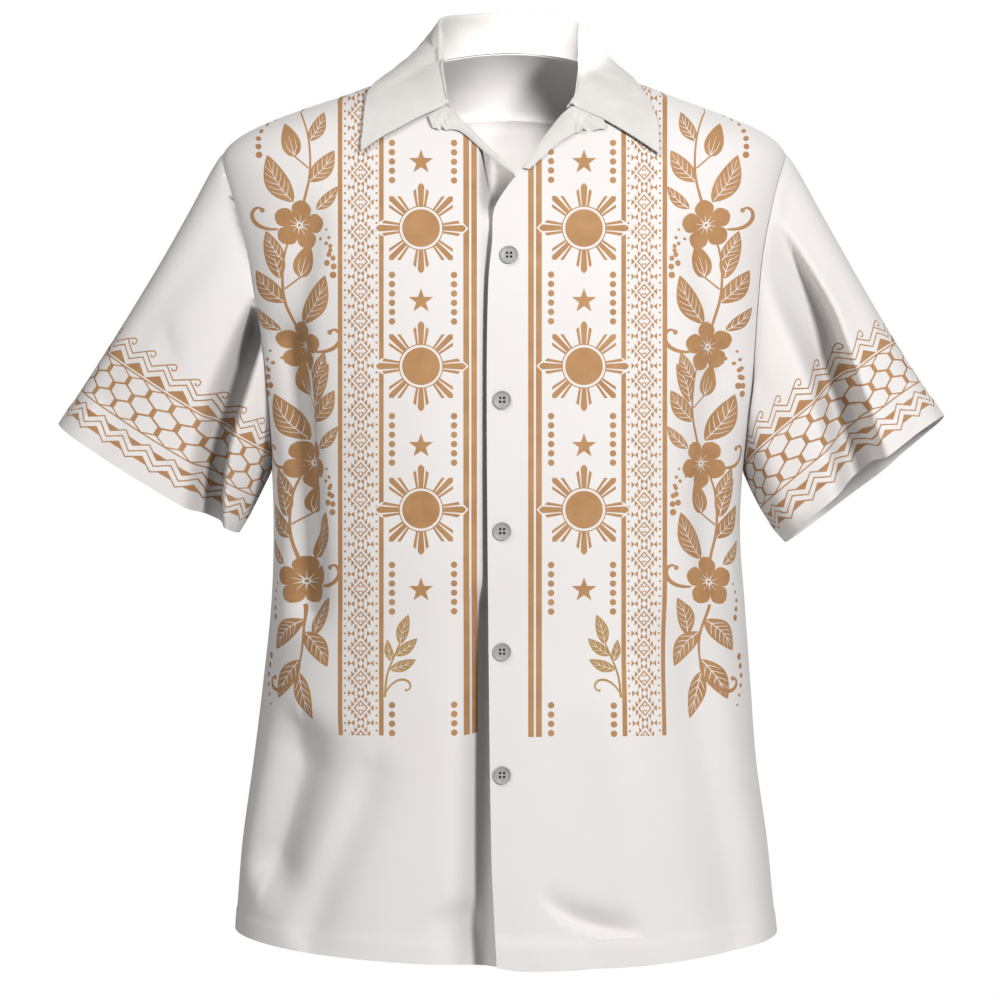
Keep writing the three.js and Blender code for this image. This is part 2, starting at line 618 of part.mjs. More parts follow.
// Four-hole button with a raised rim, lying on the top front.
function button(index) {
  const spot = BUTTONS[index];
  const b = BUTTON;
  const z = spot.z;
  const points = section(z, "front");
  const l = crossing(points, (p) => p.x - spot.x);
  const seat = bodyPoint(l, z, "front", "front_right");
  const out = seat.way.clone();
  const across = new THREE.Vector3(1, 0, 0).addScaledVector(out, -out.x).normalize();
  const up = new THREE.Vector3().crossVectors(across, out).negate().normalize();
  const shape = new THREE.Shape();
  shape.absarc(0, 0, b.radius, 0, 2 * Math.PI, false);
  const verts = [];
  const faces = [];
  const ring = (radius, height) => {
    const ids = [];
    for (let k = 0; k < b.sides; k += 1) {
      const a = (k / b.sides) * 2 * Math.PI;
      verts.push([radius * Math.cos(a), radius * Math.sin(a), height]);
      ids.push(verts.length - 1);
    }
    return ids;
  };
  const join = (lower, upper) => {
    for (let k = 0; k < b.sides; k += 1) {
      const n = (k + 1) % b.sides;
      faces.push([lower[k], lower[n], upper[n]], [lower[k], upper[n], upper[k]]);
    }
  };
  const back = ring(b.radius - 0.5, 0);
  const side0 = ring(b.radius, 0.6);
  const side1 = ring(b.radius, b.edge - 0.5);
  const rim0 = ring(b.radius - 0.4, b.edge);
  const rim1 = ring(b.radius - b.rim, b.edge);
  const well = ring(b.radius - b.rim - 0.8, b.well);
  join(back, side0);
  join(side0, side1);
  join(side1, rim0);
  join(rim0, rim1);
  join(rim1, well);
  const holes = [[1, 1], [-1, 1], [-1, -1], [1, -1]].map(([sx, sy]) => {
    const ids = { low: [], high: [] };
    for (let k = 0; k < 8; k += 1) {
      const a = (k / 8) * 2 * Math.PI;
      const x = sx * b.pitch + b.hole * Math.cos(a);
      const y = sy * b.pitch + b.hole * Math.sin(a);
      verts.push([x, y, 0], [x, y, b.well]);
      ids.low.push(verts.length - 2);
      ids.high.push(verts.length - 1);
    }
    return ids;
  });
  const cap = (outline, key, height, upward) => {
    const contour = outline.map((i) => new THREE.Vector2(verts[i][0], verts[i][1]));
    const inner = holes.map((h) => [...h[key]].reverse());
    const lists = inner.map((h) => h.map((i) => new THREE.Vector2(verts[i][0], verts[i][1])));
    const ids = [...outline, ...inner.flat()];
    for (const t of THREE.ShapeUtils.triangulateShape(contour, lists)) {
      const f = t.map((i) => ids[i]);
      faces.push(upward ? f : [f[0], f[2], f[1]]);
    }
  };
  cap(well, "high", b.well, true);
  cap(back, "low", 0, false);
  for (const h of holes) {
    for (let k = 0; k < 8; k += 1) {
      const n = (k + 1) % 8;
      faces.push([h.low[n], h.low[k], h.high[k]], [h.low[n], h.high[k], h.high[n]]);
    }
  }
  const flat = [];
  for (const v of verts) {
    const q = seat.p.clone().addScaledVector(across, v[0]).addScaledVector(up, v[1]);
    q.addScaledVector(out, 0.25 + v[2]);
    flat.push(q.x, q.y, q.z);
  }
  return solid(`button_${index + 1}`, flat, faces.flat());
}

const group = new THREE.Group();
group.add(wall("front_left", frontLeft, false));
group.add(wall("front_right", frontRight, false));
group.add(wall("yoke", yokeGrid, false));
group.add(wall("back", lowerBack, false));
group.add(sleeve(-1));
group.add(sleeve(1));
group.add(collar());
group.add(lapel(-1));
group.add(lapel(1));
BUTTONS.forEach((_, index) => group.add(button(index)));

export default group;
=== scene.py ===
# Short-sleeved camp shirt with an open notched collar, filled out as if worn. Cloth is worked out in
# millimetres and made in metres. The front faces -Y and +X is the wearer's left.
import math

import bmesh
import bpy
import numpy as np
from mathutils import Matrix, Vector, kdtree
from mathutils.geometry import delaunay_2d_cdt


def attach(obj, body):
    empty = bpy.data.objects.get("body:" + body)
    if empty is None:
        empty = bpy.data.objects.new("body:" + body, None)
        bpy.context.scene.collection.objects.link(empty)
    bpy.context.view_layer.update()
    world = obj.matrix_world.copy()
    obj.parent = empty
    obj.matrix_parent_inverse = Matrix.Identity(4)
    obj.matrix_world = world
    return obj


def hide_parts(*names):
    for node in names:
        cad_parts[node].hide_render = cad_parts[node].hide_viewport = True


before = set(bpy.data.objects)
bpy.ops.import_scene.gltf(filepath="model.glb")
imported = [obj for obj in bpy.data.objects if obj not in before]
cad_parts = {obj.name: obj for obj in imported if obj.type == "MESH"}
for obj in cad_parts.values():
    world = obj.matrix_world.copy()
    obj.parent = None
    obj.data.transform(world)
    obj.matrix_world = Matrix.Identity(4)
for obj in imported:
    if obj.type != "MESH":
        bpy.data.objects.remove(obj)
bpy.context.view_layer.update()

MM = 0.001
CLOTH = 0.9
COLLAR_THICK = 1.3
LAPEL_THICK = 1.0
NECK_LOW = -5.0
NECK_SEAM = -7.0
HEM_LOW = -704.0
SPAN = 400
BODY_GRID = 4.0
SLEEVE_GRID = 3.3


def table(names, *rows):
    keys = names.split()
    if rows[0][0] > rows[-1][0]:
        rows = rows[::-1]
    return {key: np.array([row[i] for row in rows], float) for i, key in enumerate(keys)}


# Level sections of the body: half widths, depths before and behind the shoulder line, and roundness.
SECTIONS = table(
    "z left right front back power",
    (-5, 54, 64, 32, 59, 2.1),
    (-12, 70, 82, 42, 66, 2.1),
    (-20, 91, 101, 50, 73, 2.1),
    (-32, 124, 131, 61, 82, 2.12),
    (-47, 168, 172, 71, 91, 2.15),
    (-62, 203, 207, 80, 98, 2.18),
    (-78, 222, 224, 88, 104, 2.2),
    (-96, 227, 227, 96, 110, 2.25),
    (-124, 224, 225, 107, 117, 2.3),
    (-160, 215, 219, 118, 123, 2.35),
    (-200, 206, 213, 127, 127, 2.4),
    (-250, 196, 206, 134, 128, 2.45),
    (-300, 187, 196, 138, 127, 2.5),
    (-330, 184, 191, 139, 126, 2.5),
    (-380, 183, 189, 138, 122, 2.5),
    (-435, 185, 193, 135, 118, 2.45),
    (-500, 192, 198, 131, 115, 2.4),
    (-563, 200, 203, 128, 113, 2.4),
    (-627, 209, 212, 125, 112, 2.4),
    (-676, 213, 217, 122, 111, 2.4),
    (-704, 215, 220, 121, 111, 2.4),
)

# Inner edges of the fronts: neckline, opening and front edge.
FRONT_EDGES = table(
    "z left right",
    (-7, -50, 61),
    (-12, -54, 64),
    (-20, -54, 64),
    (-32, -51, 60),
    (-47, -41, 50),
    (-62, -24, 38),
    (-78, -9, 26),
    (-87, 0, 19),
    (-96, 8, 12),
    (-107, 13, 3),
    (-124, 13.5, -6.8),
    (-148, 13.5, -8.4),
    (-178, 13.5, -11.2),
    (-250, 13.5, -12.5),
    (-420, 13.5, -11.5),
    (-620, 13.5, -9),
    (-704, 13.5, -5),
)

ARM_TOP = -78.0
ARM_LOW = -330.0
ARM_MIDDLE = (ARM_TOP + ARM_LOW) / 2
ARM_HALF = (ARM_TOP - ARM_LOW) / 2
ARM_REACH = {"front": 57.0, "back": 53.0}
ARM_POWER = 2.2
SLEEVE_POWER = 2.3
YOKE_BASE = -107.0
YOKE_LIFT = 56.0

# Folds of the body: place along the cloth and height of each end, width before and after the fold line,
# depth inward (a ridge is negative) and the only piece that has it.
FOLDS = (
    ("front", -170, -532, -208, -640, 20, 36, 19, None),
    ("front", -102, -560, -160, -690, 13, 19, 6, None),
    ("front", -9, -430, -18, -715, 15, 9, 25, "front_left"),
    ("front", -6, -150, -8, -420, 9, 9, 7, "front_left"),
    ("front", -180, -230, -168, -430, 19, 20, 17, None),
    ("front", -150, -130, -178, -240, 20, 14, 6, None),
    ("front", 150, -140, 184, -250, 16, 22, 6, None),
    ("front", -32, -664, -17, -706, 19, 9, 9, "front_left"),
    ("front", 172, -250, 178, -400, 22, 22, 8, None),
    ("front", 150, -450, 196, -690, 30, 20, 8, None),
    ("front", 92, -500, 108, -700, 26, 26, -4, None),
    ("back", -150, -180, -70, -330, 26, 16, 9, None),
    ("back", 140, -200, 84, -350, 16, 24, 8, None),
    ("back", -96, -400, -132, -700, 30, 18, 13, None),
    ("back", -28, -360, -16, -700, 26, 30, -6, None),
    ("back", 52, -330, 74, -700, 18, 28, 11, None),
    ("back", 150, -420, 168, -690, 26, 18, 9, None),
    ("back", -176, -260, -160, -420, 20, 24, 8, None),
)

# Opening edge of the under front: place along the cloth of each hollow, width before and after, and depth.
CURLED_EDGE = ((-8, 7, 19, 44), (-17, 5, 5, -5))

OVERLAP_STEP = 1.15

# Drop of the hem below a level line.
HEM_DROP = table(
    "x front back",
    (-220, -7, -7),
    (-150, -1, -3),
    (-70, 3, 0),
    (-14, 4, 1),
    (14, 8, 1),
    (70, 7, 0),
    (150, 3, -2),
    (225, -4, -4),
)

# Sleeves from armhole to cuff: upper and lower edge in the front view, reach to front and back, and tilt.
SLEEVES = {
    "left": table(
        "t x z lx lz front back tilt",
        (0.0, -222, -78, -184, -330, 57, 53, 0),
        (0.12, -240, -101, -188, -338, 59, 55, 0),
        (0.3, -261, -145, -193, -348, 60, 57, 0),
        (0.5, -287, -189, -198, -358, 59, 57, 0),
        (0.75, -321, -243, -205, -370, 58, 56, 0),
        (1.0, -354, -293, -211, -380, 57, 55, -1),
    ),
    "right": table(
        "t x z lx lz front back tilt",
        (0.0, 224, -78, 191, -330, 57, 53, 0),
        (0.12, 243, -100, 195, -341, 59, 55, 1),
        (0.3, 264, -144, 201, -353, 60, 57, 3),
        (0.5, 288, -187, 208, -365, 59, 57, 5),
        (0.75, 320, -240, 217, -378, 58, 56, 7),
        (1.0, 352, -288, 226, -388, 57, 55, 9),
    ),
}

# Folds of the sleeves: share of the way round from the top edge (positive to the front) and share of the
# way to the cuff at each end, widths above and below the fold line, and depth.
SLEEVE_FOLDS = {
    "left": (
        (0.27, -0.02, 0.4, 1.05, 20, 9, 44),
        (0.12, 0.05, 0.1, 0.8, 14, 20, 4),
        (0.16, 0.5, 0.15, 1.1, 14, 18, 3),
        (-0.22, 0.0, -0.3, 1.0, 14, 26, 14),
        (-0.08, 0.3, -0.12, 1.0, 16, 16, -4),
    ),
    "right": (
        (0.13, 0.12, 0.235, 1.06, 9, 29, 46),
        (0.38, 0.1, 0.4, 0.9, 14, 18, -4),
        (0.09, 0.2, 0.12, 1.0, 18, 14, 3),
        (-0.26, 0.0, -0.2, 1.0, 26, 14, 14),
        (-0.12, 0.2, -0.08, 1.0, 15, 15, -4),
    ),
}

COLLAR_END = -47.0

# Collar from the viewer's left end round the neck: top of the fold, outer edge of the fall, and how far
# that edge stands off the shirt.
COLLAR = table(
    "u fx fy fz ex ey ez off",
    (0.0, -43, -66, -43, -107, -70, -85, 4.5),
    (0.08, -46, -52, -29, -104, -52, -62, 4),
    (0.16, -49, -30, -7, -100, -30, -40, 3.5),
    (0.24, -50, -2, 15, -88, 2, -20, 3),
    (0.33, -49, 29, 30, -78, 50, -16, 3),
    (0.42, -28, 50, 34, -47, 72, -15, 3),
    (0.5, 6, 56, 36, 6, 76, -13, 3),
    (0.58, 40, 50, 34, 57, 72, -15, 3),
    (0.67, 61, 29, 30, 86, 50, -16, 3),
    (0.76, 62, -2, 15, 93, 2, -19, 3),
    (0.84, 61, -30, -7, 104, -30, -38, 3.5),
    (0.92, 58, -52, -29, 115, -52, -62, 4),
    (1.0, 53, -66, -43, 117.5, -70, -86, 4.5),
)

# Lapels: the edge where the front turns over, and the free outer edge, in the front view.
LAPELS = {
    "left": table(
        "u ix iz ox oz",
        (0.0, -60, -52, -54, -62),
        (0.25, -46, -45, -44.8, -62.5),
        (0.5, -33, -55.5, -32.8, -64.5),
        (0.75, -15.5, -73, -15, -79.5),
        (1.0, 6, -94.5, 7, -97),
    ),
    "right": table(
        "u ix iz ox oz",
        (0.0, 79.5, -54.5, 78.5, -62.5),
        (0.22, 59, -45, 61, -64),
        (0.4, 49, -49.5, 53, -67),
        (0.6, 38, -62.5, 40, -75.5),
        (0.8, 27, -77.5, 30.4, -84.5),
        (1.0, 16, -93, 20, -94),
    ),
}

BUTTONS = ((4.5, -160), (-0.8, -270), (-0.8, -370), (-0.8, -463), (-0.8, -559))


def smooth(t):
    c = np.clip(t, 0, 1)
    return c * c * (3 - 2 * c)


def reading(rows, key, name, at):
    """A smooth reading of one column of a table."""
    xs = rows[key]
    ys = rows[name]
    last = len(xs) - 1
    before = np.maximum(np.arange(last + 1) - 1, 0)
    after = np.minimum(np.arange(last + 1) + 1, last)
    slope = (ys[after] - ys[before]) / (xs[after] - xs[before])
    v = np.clip(at, xs[0], xs[-1])
    i = np.clip(np.searchsorted(xs, v, side="left") - 1, 0, last - 1)
    h = xs[i + 1] - xs[i]
    t = (v - xs[i]) / h
    return (
        (2 * t ** 3 - 3 * t ** 2 + 1) * ys[i]
        + (t ** 3 - 2 * t ** 2 + t) * slope[i] * h
        + (3 * t ** 2 - 2 * t ** 3) * ys[i + 1]
        + (t ** 3 - t ** 2) * slope[i + 1] * h
    )


def between(grid, row, column):
    """Reading of a grid at places between its rows and columns."""
    i = np.minimum(row.astype(int), grid.shape[0] - 2)
    j = np.minimum(column.astype(int), grid.shape[1] - 2)
    ti = row - i
    tj = column - j
    low = grid[i, j] * (1 - tj) + grid[i, j + 1] * tj
    high = grid[i + 1, j] * (1 - tj) + grid[i + 1, j + 1] * tj
    return low * (1 - ti) + high * ti


def run_along(points):
    """Length along a line up to each of its points."""
    return np.concatenate(([0], np.cumsum(np.linalg.norm(np.diff(points, axis=0), axis=1))))


def signed_power(v, power):
    return np.sign(v) * np.abs(v) ** power


def side_name(side):
    return "left" if side < 0 else "right"


def arm_heights(count):
    """Heights round half an armhole, from its top down."""
    return ARM_MIDDLE + ARM_HALF * np.cos(np.linspace(0, np.pi, count))


HEIGHTS = np.arange(HEM_LOW, NECK_LOW + 0.5, 1.0)
SIZES = {name: reading(SECTIONS, "z", name, HEIGHTS) for name in list(SECTIONS)[1:]}
LENGTHS = np.arange(-SPAN, SPAN + 0.5, 1.0)
OTHER = {"front": "back", "back": "front"}


def size(name, z):
    return np.interp(z, HEIGHTS, SIZES[name])


def height_row(z):
    """Place of a height among the rows of the section tables."""
    return np.clip(z - HEM_LOW, 0, len(HEIGHTS) - 1.001)


def half_width(x, z):
    return np.where(x < 0, size("left", z), size("right", z))


def front_depth(share, z):
    """How far forward the front is, at a share of its half width."""
    n = size("power", z)
    return size("front", z) * (1 - np.abs(share) ** n) ** (1 / n)


def section_tables(face):
    """Across and depth of each level section by the length along the cloth from its middle."""
    angle = np.linspace(-1, 1, 961) * math.radians(165)
    s = np.sin(angle)
    c = np.cos(angle)
    quarter = np.pi / 2
    xs = np.zeros((len(HEIGHTS), len(LENGTHS)))
    ys = np.zeros_like(xs)
    ends = np.zeros((len(HEIGHTS), 2))
    for i in range(len(HEIGHTS)):
        n = SIZES["power"][i]
        a = np.where(s < 0, SIZES["left"][i], SIZES["right"][i])
        b = np.where(c > 0, SIZES[face][i], SIZES[OTHER[face]][i])
        x = a * signed_power(s, 2 / n)
        y = b * signed_power(c, 2 / n) * (-1 if face == "front" else 1)
        run = run_along(np.stack([x, y], axis=1))
        run -= np.interp(0, angle, run)
        xs[i] = np.interp(LENGTHS, run, x)
        ys[i] = np.interp(LENGTHS, run, y)
        ends[i] = np.interp([-quarter, quarter], angle, run)
    return xs, ys, ends


SECTION = {face: section_tables(face) for face in ("front", "back")}


def on_section(l, z, face):
    xs, ys, _ = SECTION[face]
    column = np.clip(l + SPAN, 0, len(LENGTHS) - 1.001)
    return between(xs, height_row(z), column), between(ys, height_row(z), column)


def level(x, y, z):
    """How far a point lies outside its level section, as a share of the section's size."""
    b = np.where(y < 0, size("front", z), size("back", z))
    n = size("power", z)
    return (np.abs(x / half_width(x, z)) ** n + np.abs(y / b) ** n) ** (1 / n) - 1


def outward(x, y, z):
    """Outward direction, and how far a point lies outside the body."""
    e = 0.4
    g = np.stack(
        [
            level(x + e, y, z) - level(x - e, y, z),
            level(x, y + e, z) - level(x, y - e, z),
            (level(x, y, z + 1) - level(x, y, z - 1)) * e,
        ],
        axis=-1,
    ) / (2 * e)
    steep = np.linalg.norm(g, axis=-1)
    return g / steep[..., None], level(x, y, z) / steep


def neck_rise(x, y, z):
    near = np.maximum(0, 1 - ((x - 5) / 64) ** 2)
    rise = 10 * near * np.clip((z + 60) / 53, 0, 1) * np.clip(y / 40, 0, 1)
    return np.where(y > 0, rise, 0)


def stand_off(p, far):
    """The nearest points that stand a distance off the body."""
    q = p.copy()
    for _ in range(12):
        way, off = outward(q[:, 0], q[:, 1], q[:, 2] - neck_rise(q[:, 0], q[:, 1], q[:, 2]))
        q += way * np.clip(far - off, -6, 6)[:, None]
    return q


def end_length(z, face, side):
    """Length from the middle to the side seam."""
    return np.interp(z, HEIGHTS, SECTION[face][2][:, 0 if side < 0 else 1])


# Crease over the right hem: its start and length along the cloth, and where the hem below it steps down.
CREASE_START = 28
CREASE_LONG = 84
CREASE_STEP = 60.3


def crease_height(run):
    """Height of the crease over the right hem, by the share of the way along it."""
    return -651 - 28 * (1 - (1 - run) ** 3)


def beside_line(x, y, ends, widths):
    """Share of the way along a fold line, and distance from it as a share of the width on that side."""
    x0, y0, x1, y1 = ends
    dx = x1 - x0
    dy = y1 - y0
    t = ((x - x0) * dx + (y - y0) * dy) / (dx * dx + dy * dy)
    c = np.clip(t, 0, 1)
    across = x - x0 - dx * c
    return t, np.hypot(across, y - y0 - dy * c) / np.where(across < 0, widths[0], widths[1])


def fold_depth(l, z, face, piece):
    """How far the folds draw the cloth in."""
    total = np.zeros_like(l)
    side = np.where(l < 0, -1, 1)
    half = np.where(
        l < 0,
        -end_length(z, "front", -1) - end_length(z, "back", -1),
        end_length(z, "front", 1) + end_length(z, "back", 1),
    )
    for where, l0, z0, l1, z1, before, after, depth, only in FOLDS:
        if only and only != piece:
            continue
        at = l if where == face else side * (half - np.abs(l))
        t, off = beside_line(at, z, (l0, z0, l1, z1), (before, after))
        ends = smooth((t + 0.3) / 0.5) * (1 - smooth((t - 0.88) / 0.42))
        total += depth * np.exp(-(off ** 2)) * ends
    total = total * smooth((-z - 60) / 60)
    if piece == "front_right":
        run = np.clip((l - CREASE_START) / CREASE_LONG, 0, 1)
        off = z - crease_height(run)
        soft = np.where(off > 0, 12, 2.6)
        total += 9 * np.sin(math.pi * run) ** 1.1 * np.exp(-((off / soft) ** 2))
        total -= 1.4 * (1 - smooth((l - CREASE_STEP) / 2.6)) * smooth((-z - 681) / 4)
    if piece == "front_left":
        total += 3 * smooth((l + 20) / 9) * smooth((-z - 110) / 30)
    return total


def curled_edge(l, z):
    """How far the under front's opening edge falls back."""
    high = np.exp(-(((z + 97) / 25) ** 4))
    total = np.zeros_like(l)
    for at, before, after, deep in CURLED_EDGE:
        wide = np.where(l < at, before, after)
        total += deep * high * np.exp(-(((l - at) / wide) ** 2))
    return total


def overlap_out(l, z, piece):
    """Where the fronts overlap, the right one stands out and the left one in."""
    low = OVERLAP_STEP * smooth((-z - 60) / 34)
    if piece == "front_right":
        return low * (1 - smooth((l - 18) / 44))
    if piece == "front_left":
        return -low * smooth((l + 62) / 44)
    return np.zeros_like(l)


def body_point(l, z, face, piece, lift=0.0):
    l = np.asarray(l, float)
    z = np.asarray(z, float)
    x, y = on_section(l, z, face)
    way, _ = outward(x, y, z)
    p = np.stack([x, y, z + neck_rise(x, y, z)], axis=-1)
    inward = fold_depth(l, z, face, piece)
    out = overlap_out(l, z, piece) - inward + lift
    p = p + way * out[..., None]
    drop = reading(HEM_DROP, "x", face, p[..., 0])
    if piece == "front_left":
        drop = drop + 0.2 * np.maximum(inward, 0)
        p[..., 1] += curled_edge(l, z)
    p[..., 2] -= drop * np.clip((-z - 600) / 104, 0, 1) ** 2
    return p


def length_at(x, z, face):
    """Length along the section at which it is that far across."""
    xs = SECTION[face][0]
    out = []
    for across, height in zip(np.atleast_1d(x), np.atleast_1d(z)):
        f = height_row(height)
        i = int(f)
        row = xs[i] * (1 - f + i) + xs[i + 1] * (f - i)
        ends = SECTION[face][2][i]
        keep = (LENGTHS > ends[0]) & (LENGTHS < ends[1])
        out.append(np.interp(across, row[keep], LENGTHS[keep]))
    return np.array(out)


def side_length(z, face, side):
    """Length from the middle to the shoulder, armhole or side edge."""
    out = []
    for height in np.atleast_1d(z):
        end = float(end_length(height, face, side))
        r = abs((height - ARM_MIDDLE) / ARM_HALF)
        if r < 1:
            reach = ARM_REACH[face] * (1 - r ** ARM_POWER) ** (1 / ARM_POWER)
            run = np.linspace(0, end, 900)
            _, y = on_section(run, np.full(900, float(height)), face)
            end = float(np.interp(-reach, -np.abs(y), run))
        out.append(end)
    return np.array(out)


def split_edges(points, step=4.0, closed=True):
    """The outline with no edge longer than the step."""
    points = np.asarray(points, float)
    ends = np.roll(points, -1, axis=0) if closed else points[1:]
    out = []
    for a, b in zip(points, ends):
        parts = max(1, int(math.ceil(np.hypot(*(b - a)) / step)))
        for k in range(parts):
            out.append(a + (b - a) * k / parts)
    if not closed:
        out.append(points[-1])
    return np.array(out)


def turned_left(points):
    x = points[:, 0]
    y = points[:, 1]
    area = np.sum(x * np.roll(y, -1) - np.roll(x, -1) * y)
    return points if area > 0 else points[::-1]


def within(points, ring):
    """Which points lie inside a ring, also one that crosses itself."""
    x = points[:, :1]
    y = points[:, 1:]
    ax, ay = ring.T
    bx, by = np.roll(ring, -1, axis=0).T
    side = (bx - ax) * (y - ay) - (x - ax) * (by - ay)
    up = (ay <= y) & (by > y) & (side > 0)
    down = (by <= y) & (ay > y) & (side < 0)
    return up.sum(axis=1) != down.sum(axis=1)


def cut_cloth(outline, prints, spacing):
    """Triangles of a flat cut piece, with the ink of each. A print is (points, ink), later ones on top."""
    outline = turned_left(outline)
    points = list(map(tuple, outline))
    lines = []
    for shape, _ in prints:
        first = len(points)
        count = len(shape)
        lines.extend((first + k, first + (k + 1) % count) for k in range(count))
        points.extend(map(tuple, shape))
    low = outline.min(axis=0)
    high = outline.max(axis=0)
    taken = {(int(p[0] // 2.2), int(p[1] // 2.2)) for p in points}
    row = 0
    y = low[1] + spacing / 2
    while y < high[1]:
        x = low[0] + (spacing / 2 if row % 2 else spacing)
        while x < high[0]:
            if (int(x // 2.2), int(y // 2.2)) not in taken:
                points.append((x, y))
            x += spacing
        y += spacing * 0.87
        row += 1
    flat = [Vector(p) for p in points]
    ring = list(range(len(outline)))
    verts, _, faces, _, _, origin = delaunay_2d_cdt(flat, lines, [ring], 1, 1e-4)
    tris = np.array([face for face, inside in zip(faces, origin) if 0 in inside])
    flat = np.array([tuple(v) for v in verts])
    middles = flat[tris].mean(axis=1)
    inks = np.zeros(len(tris), int)
    for shape, ink in prints:
        near = np.all((middles > shape.min(axis=0)) & (middles < shape.max(axis=0)), axis=1)
        near = np.flatnonzero(near)
        inks[near[within(middles[near], shape)]] = ink
    used = np.unique(tris)
    new = np.full(len(verts), -1)
    new[used] = np.arange(len(used))
    return flat[used], new[tris], inks


def rim_edges(tris):
    """Directed edges that only one triangle has."""
    edges = np.concatenate([tris[:, [0, 1]], tris[:, [1, 2]], tris[:, [2, 0]]])
    keys = np.sort(edges, axis=1)
    _, first, count = np.unique(keys, axis=0, return_index=True, return_counts=True)
    return edges[first[count == 1]]


def cloth_piece(name, p, way, tris, inks, uv, materials, thick=CLOTH):
    """A closed thin shell from its outer points in millimetres."""
    a = p[tris[:, 0]]
    facing = np.cross(p[tris[:, 1]] - a, p[tris[:, 2]] - a)
    if np.sum(facing * way[tris[:, 0]]) < 0:
        tris = tris[:, ::-1]
    n = len(p)
    thick = np.broadcast_to(np.asarray(thick, float), (n,))
    points = np.concatenate([p, p - way * thick[:, None]]) * MM
    rim = rim_edges(tris)
    side_a = np.stack([rim[:, 1], rim[:, 0], rim[:, 0] + n], axis=1)
    side_b = np.stack([rim[:, 1], rim[:, 0] + n, rim[:, 1] + n], axis=1)
    faces = np.concatenate([tris, tris[:, ::-1] + n, side_a, side_b])
    ink = np.concatenate([inks, np.zeros(len(tris) + 2 * len(rim), int)])
    mesh = bpy.data.meshes.new(name)
    mesh.vertices.add(len(points))
    mesh.vertices.foreach_set("co", points.astype(np.float32).ravel())
    mesh.loops.add(len(faces) * 3)
    mesh.loops.foreach_set("vertex_index", faces.astype(np.int32).ravel())
    mesh.polygons.add(len(faces))
    mesh.polygons.foreach_set("loop_start", np.arange(0, len(faces) * 3, 3, dtype=np.int32))
    mesh.polygons.foreach_set("material_index", ink.astype(np.int32))
    mesh.update(calc_edges=True)
    mesh.validate()
    layer = mesh.uv_layers.new(name="cut")
    both = np.concatenate([uv, uv]) * MM
    index = np.zeros(len(mesh.loops), np.int32)
    mesh.loops.foreach_get("vertex_index", index)
    layer.data.foreach_set("uv", both[index].astype(np.float32).ravel())
    mesh.shade_smooth()
    ends = np.zeros(len(mesh.edges) * 2, np.int32)
    mesh.edges.foreach_get("vertices", ends)
    ends = np.sort(ends.reshape(-1, 2), axis=1)
    keys = ends[:, 0].astype(np.int64) * 10000000 + ends[:, 1]
    hard = np.sort(rim, axis=1)
    wanted = np.concatenate([hard, hard + n])
    wanted = wanted[:, 0].astype(np.int64) * 10000000 + wanted[:, 1]
    sharp = mesh.attributes.new("sharp_edge", "BOOLEAN", "EDGE")
    sharp.data.foreach_set("value", np.isin(keys, wanted))
    for material in materials:
        mesh.materials.append(material)
    piece = bpy.data.objects.new(name, mesh)
    bpy.context.scene.collection.objects.link(piece)
    return piece


def slopes(place, u, v, step=0.6):
    """Outward directions of a mapped surface, from steps to each side."""
    du = place(u + step, v) - place(u - step, v)
    dv = place(u, v + step) - place(u, v - step)
    way = np.cross(du, dv)
    return way / np.linalg.norm(way, axis=1)[:, None]


# Ditch of a seam: how deep it is, and how far it reaches from the seam.
SEAM_DEEP = 0.55
SEAM_REACH = 2.8


def tucked(p, way, flat, seams):
    """Seam edges turn in, so that a fine ditch shows where two pieces are sewn."""
    tree = kdtree.KDTree(len(seams))
    for i, s in enumerate(seams):
        tree.insert((s[0], s[1], 0), i)
    tree.balance()
    gap = np.array([tree.find((q[0], q[1], 0))[2] for q in flat])
    return p - way * (SEAM_DEEP * np.exp(-((gap / SEAM_REACH) ** 2)))[:, None]


SHOULDER_HEIGHTS = np.linspace(NECK_SEAM, ARM_TOP, 22)[:-1]
SIDE_HEIGHTS = np.linspace(ARM_LOW, HEM_LOW, 96)[1:]
ARM_HEIGHTS = arm_heights(90)


def open_line(points, step=4.0):
    return split_edges(points, step, closed=False)


def front_outline(side):
    """Outline of a front, and its sewn edges."""
    z = np.concatenate([SHOULDER_HEIGHTS, ARM_HEIGHTS, SIDE_HEIGHTS])
    seam = np.stack([side_length(z, "front", side), z], axis=1)
    z = np.linspace(NECK_SEAM, HEM_LOW, 176)
    inner = length_at(reading(FRONT_EDGES, "z", side_name(side), z), z, "front")
    edge = np.stack([inner, z], axis=1)
    hem = open_line([edge[-1], seam[-1]])[1:-1]
    return np.concatenate([edge, hem, seam[::-1]]), open_line(seam, 1.5)


def back_outline(upper):
    """Outline and sewn edges of the yoke, or of the back. The seam between them rises in the middle."""
    s = np.linspace(1, -1, 121)
    z = YOKE_BASE + YOKE_LIFT * (1 - s * s)
    ends = np.where(s < 0, -side_length(z, "back", -1), side_length(z, "back", 1))
    seam = np.stack([s * ends, z], axis=1)
    if upper:
        z = np.concatenate([SHOULDER_HEIGHTS, ARM_HEIGHTS[ARM_HEIGHTS > YOKE_BASE]])
    else:
        z = np.concatenate([ARM_HEIGHTS[ARM_HEIGHTS < YOKE_BASE], SIDE_HEIGHTS])
    left, right = (np.stack([side_length(z, "back", side), z], axis=1) for side in (-1, 1))
    if upper:
        top = open_line([right[0], left[0]], 2.5)
        outline = np.concatenate([top, left[1:], seam[::-1], right[:0:-1]])
    else:
        hem = open_line([left[-1], right[-1]])[1:-1]
        outline = np.concatenate([seam, left, hem, right[::-1]])
    return outline, np.concatenate([open_line(q, 1.5) for q in (left, seam, right)])


HEM_DEEP = 20.0


